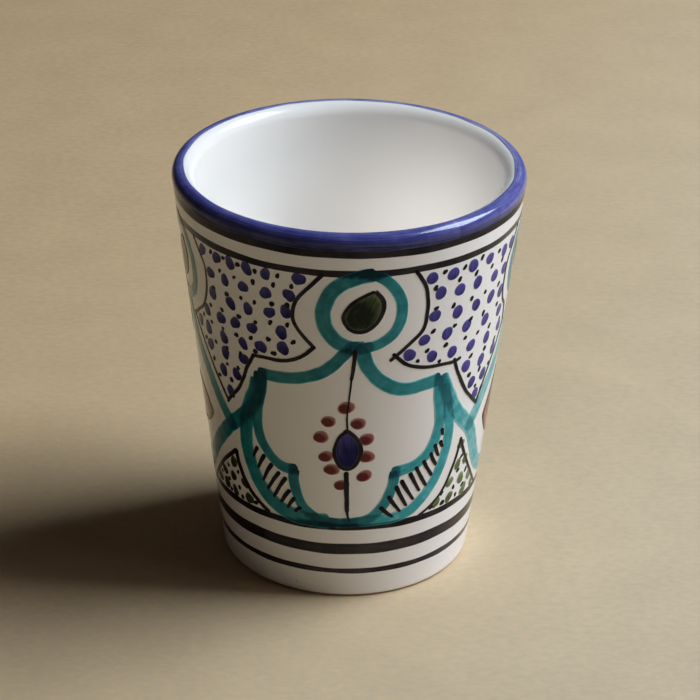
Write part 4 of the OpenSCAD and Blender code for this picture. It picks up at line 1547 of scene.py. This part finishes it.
@dataclass
class Hatching:
    """Short black strokes between the two teal lines at a cartouche's lower corners."""

    form: CupForm
    panels: tuple[Panel, ...]
    liner: Brush = Brush(width=1.05, layer=0.105, blunt=0.5, wobble=0.14, thick=0.02, load=0.74, step=0.3)
    bow: Point = (-0.15, 0.1)
    taper: Point = (1.1, 0.8)

    LEFT: ClassVar[tuple[tuple[Point, Point], ...]] = (
        ((-36.6, 18.5), (-39.3, 15.0)), ((-33.4, 16.9), (-37.3, 12.2)), ((-30.2, 14.9), (-35.3, 9.0)),
        ((-27.0, 13.1), (-33.3, 6.9)), ((-24.2, 11.9), (-30.6, 5.1)), ((-22.7, 8.5), (-27.3, 4.1)),
        ((-20.7, 6.6), (-24.3, 2.9)), ((-18.2, 4.0), (-21.2, 2.3)),
    )
    RIGHT: ClassVar[tuple[tuple[Point, Point], ...]] = (
        ((14.2, 4.8), (20.2, 1.2)), ((17.4, 7.8), (23.3, 2.4)), ((20.4, 10.4), (26.0, 3.7)),
        ((22.6, 11.8), (29.0, 5.1)), ((26.2, 13.5), (31.6, 7.2)), ((28.6, 14.9), (34.6, 8.2)),
        ((31.8, 16.2), (37.0, 10.7)), ((34.9, 17.9), (38.6, 13.4)), ((36.5, 20.0), (39.3, 15.9)),
        ((39.2, 20.4), (41.0, 18.2)), ((39.2, 24.0), (40.4, 21.8)),
    )

    def build(self, looks: Looks) -> None:
        """Builds the hatching of both panels.

        Args:
            looks: Materials by slot.
        """
        coat = Coat(self.form, 71)
        for panel in self.panels:
            for strokes, way in ((self.LEFT, 1.0), (self.RIGHT, -1.0)):
                for head, foot in strokes:
                    bow = (self.bow[0], self.bow[1] * way)
                    middle = tuple((a + b) / 2.0 + c for a, b, c in zip(head, foot, bow))
                    coat.stroke((head, middle, foot), self.liner, panel, self.taper)
        coat.piece("hatch_strokes", Slot.BLACK, looks)


@dataclass
class Corners:
    """Corner triangles between the panels: black outlines, green dabs and black specks."""

    form: CupForm
    panels: tuple[Panel, ...]
    liner: Brush = Brush(width=0.95, layer=0.085, blunt=0.5, wobble=0.12, thick=0.02, load=0.72, step=0.35)
    dab: Point = (2.6, 3.2)
    speck: Speck = Speck(width=1.1, sizes=(0.8, 1.2), leans=(20.0, 80.0), longer=1.35)
    taper: Point = (1.0, 0.8)

    DAB_LEANS: ClassVar[Point] = (-35.0, -5.0)
    DAB_SIZES: ClassVar[Point] = (0.85, 1.1)
    DAB_LOADS: ClassVar[Point] = (0.28, 0.44)
    DAB_ROUGH: ClassVar[float] = 0.12
    LEFT_LOAD: ClassVar[float] = 0.44
    OUTLINES: ClassVar[tuple[tuple[float, Route], ...]] = (
        (1.55, ((-49.5, 14.8), (-48.0, 10.0), (-43.0, 4.4), (-33.0, -0.2))),
        (1.15, ((-49.0, 14.6), (-55.0, 11.4), (-62.0, 7.4), (-75.0, -0.4))),
        (0.95, ((51.7, 18.4), (50.0, 13.0), (45.0, 5.8), (39.0, 2.0), (32.0, -0.3))),
        (0.95, ((51.2, 18.2), (57.0, 11.4), (64.0, 5.2), (72.0, -0.3))),
    )
    DABS: ClassVar[Route] = (
        (-52.2, 10.2), (-53.8, 5.7), (-46.4, 5.5), (-60.6, 5.7), (-53.4, 1.5), (-44.2, 1.6), (-60.0, 2.0),
        (-67.0, 2.2), (52.2, 16.2), (52.0, 10.4), (57.2, 10.6), (48.0, 6.2), (55.7, 5.4), (62.7, 4.5),
        (41.2, 1.9), (49.0, 1.6), (59.3, 1.3), (67.4, 1.2),
    )
    SPECKS: ClassVar[Route] = (
        (-57.0, 7.9), (-50.0, 7.8), (-57.6, 3.8), (-50.2, 3.2), (-40.6, 1.2), (-56.8, 1.0), (-48.6, 0.9),
        (-64.0, 4.2), (-48.8, 11.4),
        (54.0, 12.2), (52.8, 8.4), (59.2, 7.0), (44.0, 3.9), (51.2, 3.9), (58.2, 2.9), (38.6, 0.9),
        (45.0, 0.9), (53.6, 1.1),
    )

    def build(self, looks: Looks) -> None:
        """Builds the corners of both panels.

        Args:
            looks: Materials by slot.
        """
        lines, dabs, specks = (Coat(self.form, seed) for seed in (81, 82, 83))
        for panel in self.panels:
            for width, route in self.OUTLINES:
                lines.stroke(route, replace(self.liner, width=width), panel, self.taper)
            for mark in self.DABS:
                left = mark[0] < 0.0
                lean = dabs.draws.uniform(*self.DAB_LEANS) * (-1.0 if left else 1.0)
                size = dabs.draws.uniform(*self.DAB_SIZES)
                base = dabs.draws.uniform(*self.DAB_LOADS) + (self.LEFT_LOAD if left else 0.0)
                outline = dabs.lump(self.dab[0] * size, self.dab[1] * size, lean, self.DAB_ROUGH)
                dabs.blob(self.form.spot(panel, mark), outline, wash(base, up=-0.08))
            for mark in self.SPECKS:
                specks.fleck(self.form.spot(panel, mark), self.speck)
        lines.piece("corner_outlines", Slot.BLACK, looks)
        dabs.piece("green_dabs", Slot.GREEN, looks)
        specks.piece("corner_specks", Slot.BLACK, looks)


@dataclass
class SidePetals:
    """Rust almond with a black outline in each side panel."""

    form: CupForm
    panels: tuple[Panel, ...]
    side: float
    liner: Brush = Brush(width=1.0, layer=0.085, blunt=0.5, wobble=0.10, thick=0.02, load=0.72, step=0.35)

    SHIFT: ClassVar[float] = -3.5
    POINTS: ClassVar[int] = 25
    FULLNESS: ClassVar[float] = 2.1
    FILL_SHARE: ClassVar[float] = 0.95
    SIZES: ClassVar[tuple[tuple[float, float, float], ...]] = ((10.2, 5.6, 20.6), (10.5, 8.4, 19.6))

    def build(self, looks: Looks) -> None:
        """Builds the almonds of both side panels.

        Args:
            looks: Materials by slot.
        """
        fills, lines = Coat(self.form, 91), Coat(self.form, 92)
        share = np.linspace(-1.0, 1.0, self.POINTS)
        for panel, (half_width, half_height, middle) in zip(self.panels, self.SIZES):
            bow = half_height * (1.0 - np.abs(share) ** self.FULLNESS)
            upper = np.column_stack([share * half_width, bow])
            centre = self.form.spot(panel, (self.side + self.SHIFT, middle))
            inner = np.concatenate([upper[::-1], -upper[1:-1] * [-1.0, 1.0]]) * self.FILL_SHARE
            fills.blob(centre, inner, wash(0.55, right=-0.012))
            whole = self.form.upright(centre)
            for way in (1.0, -1.0):
                route = tuple((x, middle + way * y) for x, y in upper[::4].tolist())
                lines.stroke(route, self.liner, whole, taper=(0.9, 0.9))
        fills.piece("almond_fills", Slot.RUST, looks)
        lines.piece("almond_outlines", Slot.BLACK, looks)


@dataclass(frozen=True)
class Lamp:
    """A soft lamp, turned towards the cup from an angle to the right of the front and a height."""

    name: str
    side: float
    height: float
    size: Point
    power: float
    colour: Colour
    mirrored: bool = True
    away: float = 1.2
    aim: float = 0.05

    def build(self) -> None:
        """Builds the lamp."""
        data = bpy.data.lights.new(self.name, "AREA")
        data.shape = "RECTANGLE"
        data.size, data.size_y = self.size
        data.energy = self.power
        data.color = self.colour
        side, up = math.radians(self.side), math.radians(self.height)
        way = Vector((math.cos(up) * math.sin(side), -math.cos(up) * math.cos(side), math.sin(up)))
        made = bpy.data.objects.new(self.name, data)
        made.location = way * self.away + Vector((0.0, 0.0, self.aim))
        made.rotation_euler = way.to_track_quat("Z", "Y").to_euler()
        made.visible_glossy = self.mirrored
        bpy.context.scene.collection.objects.link(made)


@dataclass(frozen=True)
class Studio:
    """Pale floor, a broad lamp from the right, a weak fill, a beam into the cup, a sky and the camera."""

    floor_size: float = 5.0
    camera_place: tuple[float, float, float] = (0.000677, -0.6415, 0.3789)
    camera_pitch: float = 26.98
    camera_roll: float = 0.749
    lens: float = 149.9
    sensor: float = 36.0
    clip: float = 0.01
    window: Lamp = Lamp("window", 99.0, 49.0, (0.70, 0.66), 16.3, (0.80, 0.905, 1.0))
    front: Lamp = Lamp("front_fill", 76.0, 5.0, (0.5, 0.3), 3.3, (1.0, 0.93, 0.97), mirrored=False)
    beam_place: tuple[float, float, float] = (-0.235, -0.247, 0.62)
    beam_target: tuple[float, float, float] = (0.0, 0.0, 0.1025)
    beam_size: float = 0.012
    beam_cone: float = 6.4
    beam_power: float = 11.2
    beam_colour: Colour = (1.0, 0.96, 0.92)
    sky: Colour = (1.0, 0.80, 0.76)
    sky_strength: float = 0.021

    def build(self) -> None:
        """Builds the floor, the lamps, the sky and the camera."""
        self.floor()
        self.window.build()
        self.front.build()
        self.beam()
        self.world()
        self.camera()
        bpy.context.scene.view_settings.view_transform = "Standard"

    def floor(self) -> None:
        """Builds the floor under the cup."""
        half = self.floor_size / 2.0
        mesh = bpy.data.meshes.new("floor")
        corners = [(-half, -half, 0.0), (half, -half, 0.0), (half, half, 0.0), (-half, half, 0.0)]
        mesh.from_pydata(corners, [], [(0, 1, 2, 3)])
        mesh.materials.append(PlainFloor().material())
        made = bpy.data.objects.new("floor", mesh)
        bpy.context.scene.collection.objects.link(made)

    def beam(self) -> None:
        """Builds the narrow beam that lights the inside of the cup from the left."""
        data = bpy.data.lights.new("inside_beam", "SPOT")
        data.shadow_soft_size = self.beam_size
        data.spot_size = math.radians(self.beam_cone)
        data.spot_blend = 1.0
        data.energy = self.beam_power
        data.color = self.beam_colour
        made = bpy.data.objects.new("inside_beam", data)
        made.location = self.beam_place
        away = Vector(self.beam_target) - Vector(self.beam_place)
        made.rotation_euler = away.to_track_quat("-Z", "Y").to_euler()
        made.visible_glossy = False
        bpy.context.scene.collection.objects.link(made)

    def world(self) -> None:
        """Builds the weak even sky."""
        world = bpy.data.worlds.new("sky")
        world.use_nodes = True
        ground = world.node_tree.nodes["Background"]
        ground.inputs["Color"].default_value = (*self.sky, 1.0)
        ground.inputs["Strength"].default_value = self.sky_strength
        bpy.context.scene.world = world

    def camera(self) -> None:
        """Builds the camera at the photograph's viewpoint."""
        data = bpy.data.cameras.new("camera")
        data.lens = self.lens
        data.sensor_width = self.sensor
        data.clip_start = self.clip
        pitch, roll = math.radians(self.camera_pitch), math.radians(self.camera_roll)
        right = Vector((1.0, 0.0, 0.0))
        up = Vector((0.0, math.sin(pitch), math.cos(pitch)))
        back = Vector((0.0, -math.cos(pitch), math.sin(pitch)))
        across = math.cos(roll) * right + math.sin(roll) * up
        above = math.cos(roll) * up - math.sin(roll) * right
        turn = Matrix((across, above, back)).transposed().to_4x4()
        made = bpy.data.objects.new("camera", data)
        made.matrix_world = Matrix.Translation(Vector(self.camera_place)) @ turn
        bpy.context.scene.collection.objects.link(made)
        bpy.context.scene.camera = made


def main() -> None:
    """Builds the cup, its painting and the studio round it."""
    logging.basicConfig(level=logging.INFO, format="%(name)s: %(message)s")
    form = CupForm.from_frame()
    left_end, right_end = form.ENDS
    span = right_end - left_end
    stretch = (360.0 - span) / span
    panels = (Panel(0.0, 1.0), Panel(right_end - stretch * left_end, stretch))
    side_shift = left_end - Medallions.CENTRE[0]
    looks = {finish.slot: finish.material() for finish in FINISHES}
    assemblies = (
        Pot(form),
        Bands(form),
        TealWork(form, panels, side_shift),
        Medallions(form, panels, side_shift),
        DottedGround(form, panels),
        Flower(form, panels),
        Hatching(form, panels),
        Corners(form, panels),
        SidePetals(form, panels, left_end),
    )
    for assembly in assemblies:
        LOG.info("building %s", type(assembly).__name__)
        assembly.build(looks)
    Studio().build()


if __name__ == "__main__":
    main()
